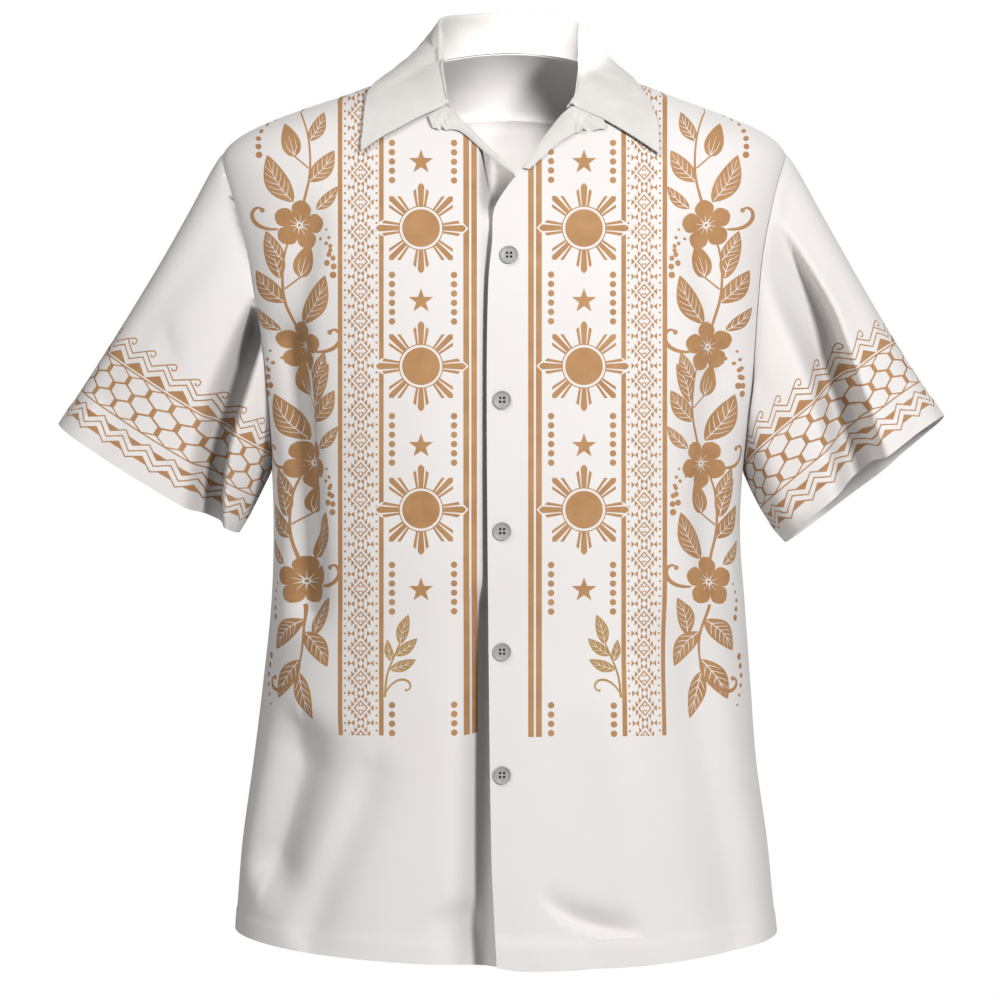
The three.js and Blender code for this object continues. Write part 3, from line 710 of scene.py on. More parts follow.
def hem_shape(up, proud=0.55, groove=0.55):
    """Turned-up hem: a little proud, with a shallow groove where it is stitched."""
    out = proud * smooth((HEM_DEEP - up) / 3 + 0.5)
    return out - groove * np.exp(-(((up - HEM_DEEP) / 1.6) ** 2))


def body_panel(name, face, outline, seams, prints, materials):
    flat, tris, inks = cut_cloth(outline, prints, BODY_GRID)

    def place(l, z):
        return body_point(l, z, face, name, hem_shape(z - HEM_LOW))

    l = flat[:, 0]
    z = flat[:, 1]
    p = place(l, z)
    way = slopes(place, l, z)
    x, y = on_section(l, z, face)
    rough, _ = outward(x, y, z)
    way *= np.sign(np.sum(way * rough, axis=1))[:, None]
    p = tucked(p, way, flat, seams)
    return cloth_piece(name, p, way, tris, inks, flat, materials)


def sleeve_frame(side):
    """Positions of a sleeve by share of the way down and round, before its folds."""
    rows = SLEEVES[side_name(side)]
    turn = arm_heights(160)
    down = body_point(side_length(turn, "front", side), turn, "front", "front_" + side_name(side))
    up = body_point(side_length(turn, "back", side), turn, "back", "back")[::-1]
    run_d = run_along(down)
    run_u = run_along(up)
    share = np.concatenate([0.5 * run_d / run_d[-1], 0.5 + 0.5 * run_u[1:] / run_u[-1]])
    ring = np.concatenate([down, up[1:]])

    def ring_point(t, a):
        r = {n: reading(rows, "t", n, t) for n in ("x", "z", "lx", "lz", "front", "back", "tilt")}
        h = signed_power(np.cos(a * 2 * np.pi), 2 / SLEEVE_POWER)
        w = signed_power(np.sin(a * 2 * np.pi), 2 / SLEEVE_POWER)
        deep = np.where(w > 0, r["front"], r["back"])
        draw = r["tilt"] * w
        x = (r["x"] + r["lx"]) / 2 + (r["x"] - r["lx"]) / 2 * h - side * 0.5 * draw
        z = (r["z"] + r["lz"]) / 2 + (r["z"] - r["lz"]) / 2 * h + 0.86 * draw
        return np.stack([x, -deep * w, z], axis=-1)

    def place(t, a):
        a = np.mod(a, 1.0)
        start = np.stack([np.interp(a, share, ring[:, k]) for k in range(3)], axis=-1)
        blend = smooth(t / 0.45)[..., None]
        return start * (1 - blend) + ring_point(t, a) * blend

    return place


SLEEVE_GIRTH = 458.0


class SleeveMap:
    """Takes a sleeve's flat cut, round from the top line and up from the cuff, onto its shape."""

    def __init__(self, side):
        self.name = side_name(side)
        self.frame = sleeve_frame(side)
        self.turns = np.linspace(0, 1, 241)
        steps = np.linspace(0, 1, 121)
        t, a = np.meshgrid(steps, self.turns, indexing="ij")
        p = self.frame(t, a)
        runs = [run_along(p[:, k]) for k in range(len(self.turns))]
        self.lengths = np.array([run[-1] for run in runs])
        along = run_along(self.frame(np.full(241, 0.85), self.turns))
        half = along[120]
        upper = along / half / 2
        under = 0.5 + (along - half) / (along[-1] - half) / 2
        self.rounds = np.where(self.turns <= 0.5, upper, under)
        self.steps = np.stack([np.interp(steps, run / run[-1], steps) for run in runs], axis=1)

    def length(self, s):
        return np.interp(self.turn(s), self.turns, self.lengths)

    def turn(self, s):
        """Share of the way round for a distance from the top line."""
        return np.interp(np.mod(s / SLEEVE_GIRTH, 1.0), self.rounds, self.turns)

    def down(self, s, d):
        """Share of the way down, 0 at the armhole, for a distance up from the cuff."""
        share = np.clip(1 - d / self.length(s), 0, 1)
        return between(self.steps, share * 120, self.turn(s) * 240)

    def folds(self, t, a):
        """Depth of the soft folds, and of the steep one, which draws the cloth straight back."""
        a = np.where(a > 0.5, a - 1, a)
        unit_a = 460
        unit_t = 240
        soft = np.zeros_like(t)
        deep = np.zeros_like(t)
        for a0, t0, a1, t1, above, below, depth in SLEEVE_FOLDS[self.name]:
            ends = (a0 * unit_a, t0 * unit_t, a1 * unit_a, t1 * unit_t)
            along, off = beside_line(a * unit_a, t * unit_t, ends, (above, below))
            grown = smooth((along + 0.05) / 0.45) if depth > 45 else 1
            if depth > 30:
                deep += grown * depth * np.exp(-(off ** 4))
            else:
                soft += depth * np.exp(-(off ** 2))
        return soft * smooth(t / 0.14), deep * smooth(t / 0.14)

    def bare(self, s, d):
        return self.frame(self.down(s, d), self.turn(s))

    def heart(self, s, d):
        t = self.down(s, d)
        return (self.frame(t, np.zeros_like(t)) + self.frame(t, np.full_like(t, 0.5))) / 2

    def way(self, s, d):
        d = np.minimum(d, self.length(s) - 1.2)
        d = np.maximum(d, 0.8)
        way = slopes(self.bare, s, d)
        out = np.sum(way * (self.bare(s, d) - self.heart(s, d)), axis=1)
        return way * np.sign(out)[:, None]

    def place(self, s, d):
        t = self.down(s, d)
        a = np.mod(s / SLEEVE_GIRTH, 1.0)
        soft, deep = self.folds(t, a)
        p = self.bare(s, d) - self.way(s, d) * (soft - hem_shape(d, 0.5, 0.4))[:, None]
        p[:, 1] += deep
        return p


def sleeve_panel(side, prints, materials):
    cut = SleeveMap(side)
    half = SLEEVE_GIRTH / 2
    around = np.linspace(-half, half, 161)
    inset = 1e-3
    clipped = np.clip(around, -half + inset, half - inset)
    cap = np.stack([around, cut.length(clipped)], axis=1)
    cuff = np.stack([around, np.zeros_like(around)], axis=1)
    left = open_line([cap[0], cuff[0]])[1:-1]
    right = open_line([cuff[-1], cap[-1]])[1:-1]
    outline = np.concatenate([cap[::-1], left, cuff, right])
    flat, tris, inks = cut_cloth(outline, prints, SLEEVE_GRID)
    s = np.clip(flat[:, 0], -half + inset, half - inset)
    d = flat[:, 1]
    inner = np.clip(d, 0.7, cut.length(s) - 0.7)
    way = slopes(cut.place, s, inner)
    way *= np.sign(np.median(np.sum(way * cut.way(s, d), axis=1)))
    p = tucked(cut.place(s, d), way, flat, open_line(cap, 1.5))
    return cloth_piece("sleeve_" + cut.name, p, way, tris, inks, flat, materials)


def neckline():
    """The line that the collar is sewn to, from the viewer's left end round the back."""
    rise = np.linspace(COLLAR_END, NECK_SEAM, 30)

    def front_edge(side, z):
        l = length_at(reading(FRONT_EDGES, "z", side, z), z, "front")
        return body_point(l, z, "front", "front_" + side)

    ends = [side_length(NECK_SEAM, "back", side)[0] for side in (-1, 1)]
    run = np.linspace(ends[0], ends[1], 90)
    back = body_point(run, np.full(90, NECK_SEAM), "back", "back")
    return np.concatenate([front_edge("left", rise), back, front_edge("right", rise[::-1])])


def resampled(points, count):
    """Points at even steps along a line, and their shares of the way."""
    run = run_along(points)
    at = np.linspace(0, run[-1], count)
    return np.stack([np.interp(at, run, column) for column in points.T], axis=1), at / run[-1]


def unit(v):
    return v / np.linalg.norm(v, axis=-1)[..., None]


def grid_piece(name, grid, materials, thick, out_from):
    """A closed shell from rows and columns of outer points."""
    rows, cols = grid.shape[:2]
    du = np.gradient(grid, axis=1)
    dv = np.gradient(grid, axis=0)
    way = unit(np.cross(du, dv)).reshape(-1, 3)
    p = grid.reshape(-1, 3)
    middle = (rows // 2) * cols + cols // 2
    if np.dot(way[middle], p[middle] - np.asarray(out_from, float)) < 0:
        way = -way
    ids = np.arange(rows * cols).reshape(rows, cols)
    a = ids[:-1, :-1].ravel()
    b = ids[1:, :-1].ravel()
    c = ids[1:, 1:].ravel()
    d = ids[:-1, 1:].ravel()
    tris = np.concatenate([np.stack([a, b, c], 1), np.stack([a, c, d], 1)])
    across = np.cumsum(np.linalg.norm(np.diff(grid, axis=1, prepend=grid[:, :1]), axis=2), axis=1)
    down = np.cumsum(np.linalg.norm(np.diff(grid, axis=0, prepend=grid[:1]), axis=2), axis=0)
    uv = np.stack([across.ravel(), down.ravel()], axis=1)
    return cloth_piece(name, p, way, tris, np.zeros(len(tris), int), uv, materials, thick)


def columns(rows, key, names, at):
    return np.stack([reading(rows, key, name, at) for name in names], axis=1)


def collar_piece(materials):
    """Stand, roll and fall of the collar, as rows of points from the neck seam to the outer edge."""
    seam, u = resampled(neckline(), 181)
    centre = np.array([5.0, -6.0, 0.0])
    inward = centre - seam
    inward[:, 2] = 0
    foot = seam + unit(inward) * 1.1
    foot[:, 2] += 0.5
    fold = columns(COLLAR, "u", ("fx", "fy", "fz"), u)
    off = reading(COLLAR, "u", "off", u)
    edge = stand_off(columns(COLLAR, "u", ("ex", "ey", "ez"), u), off)
    rise = np.linalg.norm(fold - foot, axis=1)
    bend = np.minimum(2.6, rise * 0.45)[:, None]
    away = edge - fold
    away[:, 2] = 0
    away = unit(away)
    up = np.array([0.0, 0.0, 1.0])
    rows = []
    stand_top = fold - away * bend - up * bend
    for k in range(8):
        t = k / 8
        rows.append(foot * (1 - t) + stand_top * t - away * (0.8 * math.sin(math.pi * t)))
    for k in range(9):
        turn = math.pi * k / 8
        rows.append(fold - away * bend * math.cos(turn) - up * bend * (1 - math.sin(turn)))
    over = rows[-1]
    bulge = (over + edge) / 2 + away * 3 + up * 3
    ends = np.exp(-(((u - 0.08) / 0.07) ** 2)) + np.exp(-(((u - 0.92) / 0.07) ** 2))
    for k in range(1, 17):
        v = k / 16
        ripple = ends * (0.7 * np.sin(u * 150 + v * 5) + 0.4 * np.sin(u * 260 - v * 9)) * 4 * v * (1 - v)
        row = over * (1 - v) ** 2 + bulge * (2 * v * (1 - v)) + edge * v * v
        crumple = np.sin(u * 97 + v * 6) + 0.8 * np.sin(u * 171 - v * 11 + 1.3)
        crumple += 0.7 * np.sin(u * 233 + v * 15)
        ripple += 0.24 * crumple * (0.5 + np.abs(2 * u - 1)) * 4 * v * (1 - 0.8 * v)
        rows.append(row + unit(over - centre) * ripple[:, None])
    grid = np.stack(rows)
    for j in range(len(rows)):
        p = grid[j]
        least = 1.55 if j < 6 else 3.2 + (off - 3.2) * max(0, j - 16) / 16
        _, gap = outward(p[:, 0], p[:, 1], p[:, 2] - neck_rise(p[:, 0], p[:, 1], p[:, 2]))
        low = (gap < least) & ~((j < 16) & (p[:, 2] > -8))
        if np.any(low):
            grid[j][low] = stand_off(p[low], np.broadcast_to(least, (len(p),))[low])
    return grid_piece("collar", grid, materials, COLLAR_THICK, (5, 0, -40))


def lapel_piece(side, materials):
    """A lapel from its fold to its free edge, puckered where it meets the collar."""
    rows = LAPELS[side_name(side)]
    strength, rise = (1.7, 1.1) if side > 0 else (1, 0)
    u = np.linspace(0, 1, 71)
    inner = columns(rows, "u", ("ix", "iz"), u) - (1.8 * side, 0)
    outer = columns(rows, "u", ("ox", "oz"), u)
    near = np.exp(-(((u - 0.2) / 0.16) ** 2))
    grid = []
    for j in range(19):
        v = j / 18
        x, z = (inner * (1 - v) + outer * v).T
        y = -front_depth(x / half_width(x, z), z)
        pucker = near * (0.9 * np.sin(u * 31 + v * 7) + 0.5 * np.sin(u * 58 - v * 11)) * v * strength
        lift = CLOTH + 0.8 + 2.2 * math.sin(math.pi * v) * (1 - 0.6 * u) + rise * u + pucker
        z = z + near * v * v * 0.9 * np.sin(u * 40)
        way, _ = outward(x, y, z)
        grid.append(np.stack([x, y, z], axis=1) + way * lift[:, None])
    return grid_piece("lapel_" + side_name(side), np.stack(grid), materials, LAPEL_THICK, (0, 0, -80))


def deselect():
    for other in bpy.context.selected_objects:
        other.select_set(False)


def pick(piece):
    deselect()
    piece.select_set(True)
    bpy.context.view_layer.objects.active = piece


def cylinder(sides, radius, depth, x=0.0, y=0.0, z=0.0):
    """A cylinder with its sizes and middle in millimetres."""
    deselect()
    bpy.ops.mesh.primitive_cylinder_add(
        vertices=sides, radius=radius * MM, depth=depth * MM, location=(x * MM, y * MM, z * MM)
    )
    return bpy.context.active_object


# Button: steps inward from the rim, with the drop of the face at each, and the four holes.
BUTTON_RADIUS = 7.0
BUTTON_THICK = 2.4
BUTTON_STEPS = ((0.75, 0), (0.45, -0.7), (0.5, -0.2), (1.6, -0.08))
BUTTON_OFF = 0.3
HOLE_RADIUS = 1.0
HOLES = ((-1.5, -1.5), (-1.5, 1.5), (1.5, -1.5), (1.5, 1.5))


def button_piece(index, material, hole_shade_material):
    """Four-hole button turned from a disc, with a raised rim, a dished middle, and near-black discs in its
    holes as painted shade.
    """
    x, z = np.array(BUTTONS[index], float)[:, None]
    seat = body_point(length_at(x, z, "front"), z, "front", "front_right")[0] * MM
    way, _ = outward(x, seat[1] / MM, z)
    out = Vector(way[0]).normalized()
    across = (Vector((1, 0, 0)) - out * out.x).normalized()
    up = out.cross(across).normalized()
    if up.z < 0:
        up = -up
        across = -across
    piece = cylinder(64, BUTTON_RADIUS, BUTTON_THICK, z=BUTTON_THICK / 2)
    piece.name = "sewn_button_%d" % (index + 1)
    bpy.ops.object.mode_set(mode="EDIT")
    work = bmesh.from_edit_mesh(piece.data)
    for face in work.faces:
        face.select = face.normal.z > 0.9
    bmesh.update_edit_mesh(piece.data)
    for step, drop in BUTTON_STEPS:
        bpy.ops.mesh.inset(thickness=step * MM)
        bpy.ops.transform.translate(value=(0, 0, drop * MM))
    bpy.ops.object.mode_set(mode="OBJECT")
    for hole_x, hole_y in HOLES:
        drill = cylinder(20, HOLE_RADIUS, 8, hole_x, hole_y)
        cut = piece.modifiers.new("hole", "BOOLEAN")
        cut.operation = "DIFFERENCE"
        cut.solver = "EXACT"
        cut.object = drill
        pick(piece)
        bpy.ops.object.modifier_apply(modifier="hole")
        bpy.data.objects.remove(drill, do_unlink=True)
    # Near-black discs a little below the face fill each hole where the thread would pass: painted shade in
    # the holes.
    threads = [cylinder(16, HOLE_RADIUS, 0.5, hole_x, hole_y, 0.95) for hole_x, hole_y in HOLES]
    for shade_disc in threads:
        shade_disc.data.materials.append(hole_shade_material)
    piece.data.materials.append(material)
    pick(piece)
    soft = piece.modifiers.new("edges", "BEVEL")
    soft.width = 0.22 * MM
    soft.segments = 3
    soft.limit_method = "ANGLE"
    soft.angle_limit = math.radians(28)
    bpy.ops.object.modifier_apply(modifier="edges")
    bpy.ops.object.shade_smooth_by_angle(angle=math.radians(35))
    for shade_disc in threads:
        shade_disc.select_set(True)
    bpy.ops.object.join()
    for vertex in piece.data.vertices:
        c = vertex.co.copy()
        vertex.co = Vector(seat) + across * c.x + up * c.y + out * (c.z + BUTTON_OFF * MM)
    piece.data.update()
    return piece


def node_material(name, base, roughness):
    material = bpy.data.materials.new(name)
    material.use_nodes = True
    nodes = material.node_tree.nodes
    links = material.node_tree.links
    shader = nodes["Principled BSDF"]
    shader.inputs["Base Color"].default_value = (*base, 1)
    shader.inputs["Roughness"].default_value = roughness
    return material, nodes, links, shader


def add_noise(nodes, links, place, scale, detail):
    noise = nodes.new("ShaderNodeTexNoise")
    noise.inputs["Scale"].default_value = scale
    noise.inputs["Detail"].default_value = detail
    links.new(place.outputs["Object"], noise.inputs["Vector"])
    return noise


def add_mottle(nodes, links, shader, noise, dark, light, low=0.0, high=1.0):
    """A slow change of colour between two tones."""
    ramp = nodes.new("ShaderNodeValToRGB")
    for stop, place, colour in zip(ramp.color_ramp.elements, (low, high), (dark, light)):
        stop.position = place
        stop.color = (*colour, 1)
    links.new(noise.outputs["Fac"], ramp.inputs["Fac"])
    links.new(ramp.outputs["Color"], shader.inputs["Base Color"])


def add_math(nodes, links, operation, value, other=None):
    node = nodes.new("ShaderNodeMath")
    node.operation = operation
    links.new(value, node.inputs[0])
    if other is not None:
        links.new(other, node.inputs[1])
    return node


def add_bump(nodes, links, height, strength, distance):
    bump = nodes.new("ShaderNodeBump")
    bump.inputs["Strength"].default_value = strength
    bump.inputs["Distance"].default_value = distance
    links.new(height, bump.inputs["Height"])
    return bump


WEAVE = 0.0006


def woven_material(name, light, dark, roughness, sheen, mottle_scale):
    """Cloth: a slow change of colour, a plain weave along the cut, and a soft surface."""
    material, nodes, links, shader = node_material(name, light, roughness)
    shader.inputs["Sheen Weight"].default_value = sheen
    shader.inputs["Specular IOR Level"].default_value = 0.25
    place = nodes.new("ShaderNodeTexCoord")
    noise = add_noise(nodes, links, place, mottle_scale, 5)
    add_mottle(nodes, links, shader, noise, dark, light, 0.3, 0.7)
    cut = nodes.new("ShaderNodeUVMap")
    cut.uv_map = "cut"
    split = nodes.new("ShaderNodeSeparateXYZ")
    links.new(cut.outputs["UV"], split.inputs["Vector"])
    waves = []
    for axis in ("X", "Y"):
        turns = add_math(nodes, links, "MULTIPLY", split.outputs[axis])
        turns.inputs[1].default_value = 2 * math.pi / WEAVE
        waves.append(add_math(nodes, links, "SINE", turns.outputs[0]).outputs[0])
    threads = add_math(nodes, links, "MULTIPLY", *waves)
    bump = add_bump(nodes, links, threads.outputs[0], 0.12, 0.00006)
    crumple = add_noise(nodes, links, place, 26, 3)
    soft = add_bump(nodes, links, crumple.outputs["Fac"], 0.1, 0.003)
    links.new(bump.outputs["Normal"], soft.inputs["Normal"])
    links.new(soft.outputs["Normal"], shader.inputs["Normal"])
    return material


def srgb(*levels):
    """Linear colour from screen levels up to 255."""
    shares = [level / 255 for level in levels]
    return tuple(c / 12.92 if c <= 0.04045 else ((c + 0.055) / 1.055) ** 2.4 for c in shares)


WHITE_CLOTH = woven_material("white_cloth", srgb(232, 228, 225), srgb(228, 223, 220), 0.85, 0.1, 9)
COPPER_PRINT = woven_material("copper_print", srgb(186, 142, 99), srgb(173, 128, 85), 0.75, 0.05, 60)
GOLD_PRINT = woven_material("gold_print", srgb(184, 150, 96), srgb(171, 135, 82), 0.75, 0.05, 60)
# The collar and lapels take a greyer copy of the white cloth, though they are the same fabric as the body:
# the grey is painted shade.
SHADED_COLLAR_CLOTH = woven_material("collar_cloth_painted_shade", srgb(221, 217, 213), srgb(211, 207, 203), 0.88, 0.08, 55)
CLOTHS = (WHITE_CLOTH, COPPER_PRINT, GOLD_PRINT)


def button_material():
    material, nodes, links, shader = node_material("grey_button", srgb(158, 157, 157), 0.38)
    noise = add_noise(nodes, links, nodes.new("ShaderNodeTexCoord"), 420, 4)
    add_mottle(nodes, links, shader, noise, srgb(148, 147, 147), srgb(184, 182, 181))
    return material


GREY_BUTTON = button_material()
# Near-black colour of the discs in the button holes: painted shade.
HOLE_SHADE = node_material("painted_hole_shade", srgb(16, 16, 17), 0.9)[0]

PLAIN = 0
COPPER = 1
GOLD = 2
EYE_FAR = 3000.0
EYE_TILT = math.radians(4)
VIEW_MIDDLE = (-2.4, -354.8)
HALF_ACROSS = np.linspace(-0.9, 0.9, 181)


def across_table():
    """Length along the front's sections, by the share of the half width."""
    xs, _, ends = SECTION["front"]
    out = np.zeros((len(HEIGHTS), len(HALF_ACROSS)))
    for i in range(len(HEIGHTS)):
        keep = (LENGTHS > ends[i, 0]) & (LENGTHS < ends[i, 1])
        wide = half_width(HALF_ACROSS, HEIGHTS[i])
        out[i] = np.interp(HALF_ACROSS * wide, xs[i][keep], LENGTHS[keep])
    return out


ACROSS = across_table()


def pressed(points):
    """From the flat layout in the front view, across and up from the neck, onto the cut of a front."""
    u = points[:, 0]
    rise = points[:, 1] - VIEW_MIDDLE[1] + 0.4
    ey = -EYE_FAR * math.cos(EYE_TILT)
    ez = VIEW_MIDDLE[1] + EYE_FAR * math.sin(EYE_TILT)
    py = rise * math.sin(EYE_TILT)
    pz = VIEW_MIDDLE[1] + rise * math.cos(EYE_TILT)
    y = np.full(len(u), -110.0)
    for _ in range(9):
        k = (y - ey) / (py - ey)
        x = VIEW_MIDDLE[0] + k * (u - VIEW_MIDDLE[0])
        z = np.clip(ez + k * (pz - ez), HEM_LOW, NECK_LOW)
        wide = half_width(x, z)
        share = np.clip(x / wide, -0.88, 0.88)
        y = 0.5 * (y - front_depth(share, z))
    l = between(ACROSS, height_row(z), (share + 0.9) / 0.01) + (x - share * wide) * 1.5
    return np.stack([l, z], axis=1)


def disc(x, y, r):
    n = max(10, int(5 + r * 2.2))
    turn = np.linspace(0, 2 * np.pi, n, endpoint=False)
    return np.stack([x + r * np.cos(turn), y + r * np.sin(turn)], axis=1)


def bar(x0, y0, x1, y1):
    return np.array([(x0, y0), (x1, y0), (x1, y1), (x0, y1)], float)


def stroke(points, widths):
    """The outline of a drawn line, of one width or a width at each point."""
    p = np.asarray(points, float)
    w = np.broadcast_to(np.asarray(widths, float), (len(p),)) / 2
    step = np.diff(p, axis=0)
    step = step / np.maximum(np.linalg.norm(step, axis=1), 1e-9)[:, None]
    before = np.concatenate([step[:1], step])
    after = np.concatenate([step, step[-1:]])
    way = before + after
    way = way / np.maximum(np.linalg.norm(way, axis=1), 1e-9)[:, None]
    lean = np.clip(np.sum(way * after, axis=1), 0.5, 1)
    side = np.stack([-way[:, 1], way[:, 0]], axis=1) * (w / lean)[:, None]
    return np.concatenate([p + side, (p - side)[::-1]])


def curve(points, count):
    """A smooth line through a few points."""
    p = np.asarray(points, float)
    ends = np.concatenate([[2 * p[0] - p[1]], p, [2 * p[-1] - p[-2]]])
    out = []
    for t in np.linspace(0, len(p) - 1, count):
        i = min(int(t), len(p) - 2)
        f = t - i
        a, b, c, d = ends[i : i + 4]
        square = 2 * a - 5 * b + 4 * c - d
        cube = 3 * b - a - 3 * c + d
        out.append(0.5 * (2 * b + (c - a) * f + square * f ** 2 + cube * f ** 3))
    return np.array(out)


def clipped(points, nx, ny, most):
    """A convex shape cut off where nx * x + ny * y is over a limit."""
    out = []
    for a, b in zip(points, np.roll(points, -1, axis=0)):
        da = nx * a[0] + ny * a[1] - most
        db = nx * b[0] + ny * b[1] - most
        if da <= 0:
            out.append(a)
        if (da < 0 < db) or (db < 0 < da):
            out.append(a + (b - a) * (da / (da - db)))
    return np.array(out)


def turned(points, angle):
    c = math.cos(angle)
    s = math.sin(angle)
    p = np.asarray(points, float)
    return np.stack([p[:, 0] * c - p[:, 1] * s, p[:, 0] * s + p[:, 1] * c], axis=1)


def star(x, y, r):
    turn = np.pi / 2 + np.arange(10) * np.pi / 5
    far = np.where(np.arange(10) % 2, 0.4 * r, r)
    return np.stack([x + far * np.cos(turn), y + far * np.sin(turn)], axis=1)


def sun(x, y):
    """Eight groups of three rays round a ringed disc. The slanting groups end on a square."""
    out = []
    for k in (0, 4):
        halo = turned([(26, -8.0), (32.4, -5.6), (38, 0), (32.4, 5.6), (26, 8.0)], k * np.pi / 4)
        out.append((halo + (x, y), PLAIN))
    for k in range(8):
        if k % 2 == 0:
            tip = [(32.8, -2.7), (34.6, -2), (36.2, 0), (34.6, 2), (32.8, 2.7)]
            middle = [(17.5, -1.75), *tip, (17.5, 1.75)]
            side = [(17.5, 2.3), (31.4, 4.0), (29.6, 6.3), (17.5, 4.0)]
        else:
            middle = [(17.5, -1.75), (40, -2.6), (40, 2.6), (17.5, 1.75)]
            side = [(17.5, 2.3), (40, 5.85), (40, 8.6), (17.5, 4.0)]
        for ray in (middle, side, [(px, -py) for px, py in side[::-1]]):
            shape = turned(ray, k * np.pi / 4)
            if k % 2:
                for nx, ny in ((1, 0), (-1, 0), (0, 1), (0, -1)):
                    shape = clipped(shape, nx, ny, 25.5)
            out.append((shape + (x, y), COPPER))
    for r, ink in ((17.9, COPPER), (17.0, PLAIN), (15.1, COPPER)):
        out.append((disc(x, y, r), ink))
    return out


BAND_PITCH = 23.8


def woven_unit(x, y):
    """One diamond of the woven band with its stepped teeth, and the bow ties below it."""
    k = 0.0383
    out = []

    def add(points, ink=COPPER):
        out.append((np.array(points, float) * k + (x, y), ink))

    for sx in (-1, 1):
        for sy in (-1, 1):
            for side, near, far, inner, level_at in (
                (68, 178, 312, 0, 236),
                (134, 96, 234, 66, 158),
                (200, 18, 156, 130, 74),
            ):
                add([(sx * side, sy * near), (sx * side, sy * far), (sx * inner, sy * level_at)])
            add([(sx * 14, sy * 24), (sx * 50, sy * 46), (sx * 30, sy * 82), (sx * 6, sy * 52)])
        add([(sx * 268, -68), (sx * 268, 68), (sx * 196, 0)])
        for side, inner in ((268, 198), (130, 204)):
            add([(sx * side, -310 - 68), (sx * side, -310 + 68), (sx * inner, -310)])
    blocks = [shape for shape in out if len(shape[0]) == 4]
    out = [shape for shape in out if len(shape[0]) == 3]
    for w, h, ink in ((186, 208, PLAIN), (152, 166, COPPER), (114, 124, PLAIN)):
        add([(w, 0), (0, h), (-w, 0), (0, -h)], ink)
    return out + blocks


def blade(base, tip, width, low, full, count, bend=0.0):
    """Outline of a leaf or bud, with its midline, half widths, and directions along and across."""
    base = np.array(base, float)
    axis = np.array(tip, float) - base
    across = np.array([-axis[1], axis[0]]) / np.hypot(*axis)
    t = np.linspace(0, 1, count)
    middle = base + axis * t[:, None] + across * (bend * np.sin(np.pi * t))[:, None]
    half = width / 2 * np.sin(np.pi * t ** low) ** full
    rim = across * half[:, None]
    return np.concatenate([middle + rim, (middle - rim)[-2:0:-1]]), t, middle, half, axis, across


def leaf(base, tip, width, bend, ink=COPPER, veins=4, fine=1.0):
    """A pointed leaf with a pale midrib and side veins."""
    outline, t, middle, half, _, across = blade(base, tip, width, 0.85, 0.85, 15, bend)
    out = [(outline, ink)]

    def on_rib(share):
        return np.stack([np.interp(share, t, middle[:, k]) for k in (0, 1)], axis=-1)

    out.append((stroke(on_rib(np.linspace(0.04, 0.9, 7)), np.linspace(0.8, 0.35, 7) * fine), PLAIN))
    for k in range(veins):
        start = 0.16 + 0.6 * k / veins
        end = start + 0.2
        a = on_rib(start)
        b = on_rib(end)
        for reach in np.array([-0.82, 0.82]) * np.interp(end, t, half):
            mid = (a + b) / 2 + across * (reach * 0.58)
            vein = stroke([a, mid, b + across * reach], np.array([0.6, 0.5, 0.3]) * fine)
            out.append((vein, PLAIN))
    return out


def bud(base, tip, width):
    """A closed bud with three pale lines."""
    outline, _, _, _, axis, across = blade(base, tip, width, 0.72, 0.8, 12)
    out = [(outline, COPPER)]
    for s, far in ((-1, 0.5), (0, 0.62), (1, 0.5)):
        a = base + axis * 0.05
        b = base + axis * far + across * (s * width * 0.26)
        mid = (a + b) / 2 + across * (s * width * 0.1)
        out.append((stroke([a, mid, b], [0.7, 0.5, 0.25]), PLAIN))
    return out


def flower(x, y, r, angle):
    """Five rounded petals round a small pale eye."""
    out = []
    t = np.linspace(0, 1, 11)
    half = r * 0.39 * np.sin(np.pi * (0.06 + 0.9 * t) ** 1.35) ** 0.75
    along = r * (0.12 + 0.88 * t)
    outline = np.concatenate([np.stack([along, half], 1), np.stack([along, -half], 1)[::-1]])
    for k in range(5):
        out.append((turned(outline, angle + k * 2 * np.pi / 5) + (x, y), COPPER))
    for k in range(10):
        far = r * (0.3 if k % 2 else 0.42)
        line = turned([(r * 0.1, 0), (far, 0)], angle + k * np.pi / 5)
        out.append((stroke(line, [0.6, 0.25]) + (x, y), PLAIN))
    out.append((disc(x, y, r * 0.12), PLAIN))
    out.append((disc(x, y, r * 0.06), COPPER))
    return out


def curl(start, way, size, hand, ink=COPPER, width=2.4):
    """A tapering tendril that rolls up on itself."""
    heading = math.atan2(way[1], way[0])
    p = np.array(start, float)
    points = [p.copy()]
    widths = [0.8]
    steps = 24
    for k in range(steps):
        share = k / (steps - 1)
        bend = 0.06 + 0.3 * share ** 1.6
        heading += hand * bend
        p = p + np.array([math.cos(heading), math.sin(heading)]) * size * 0.155 * (1 - 0.45 * share)
        points.append(p.copy())
        widths.append(0.8 + (width - 0.8) * math.sin(math.pi * min(1, 0.15 + share * 0.8)))
    return [(stroke(points, widths), ink), (disc(*(points[-1]), width * 0.62), ink)]


def dots(points, count, small, big):
    """A row of dots that grow along a line."""
    places, shares = resampled(curve(points, 40), count)
    return [(disc(x, y, small + (big - small) * share), COPPER) for (x, y), share in zip(places, shares)]


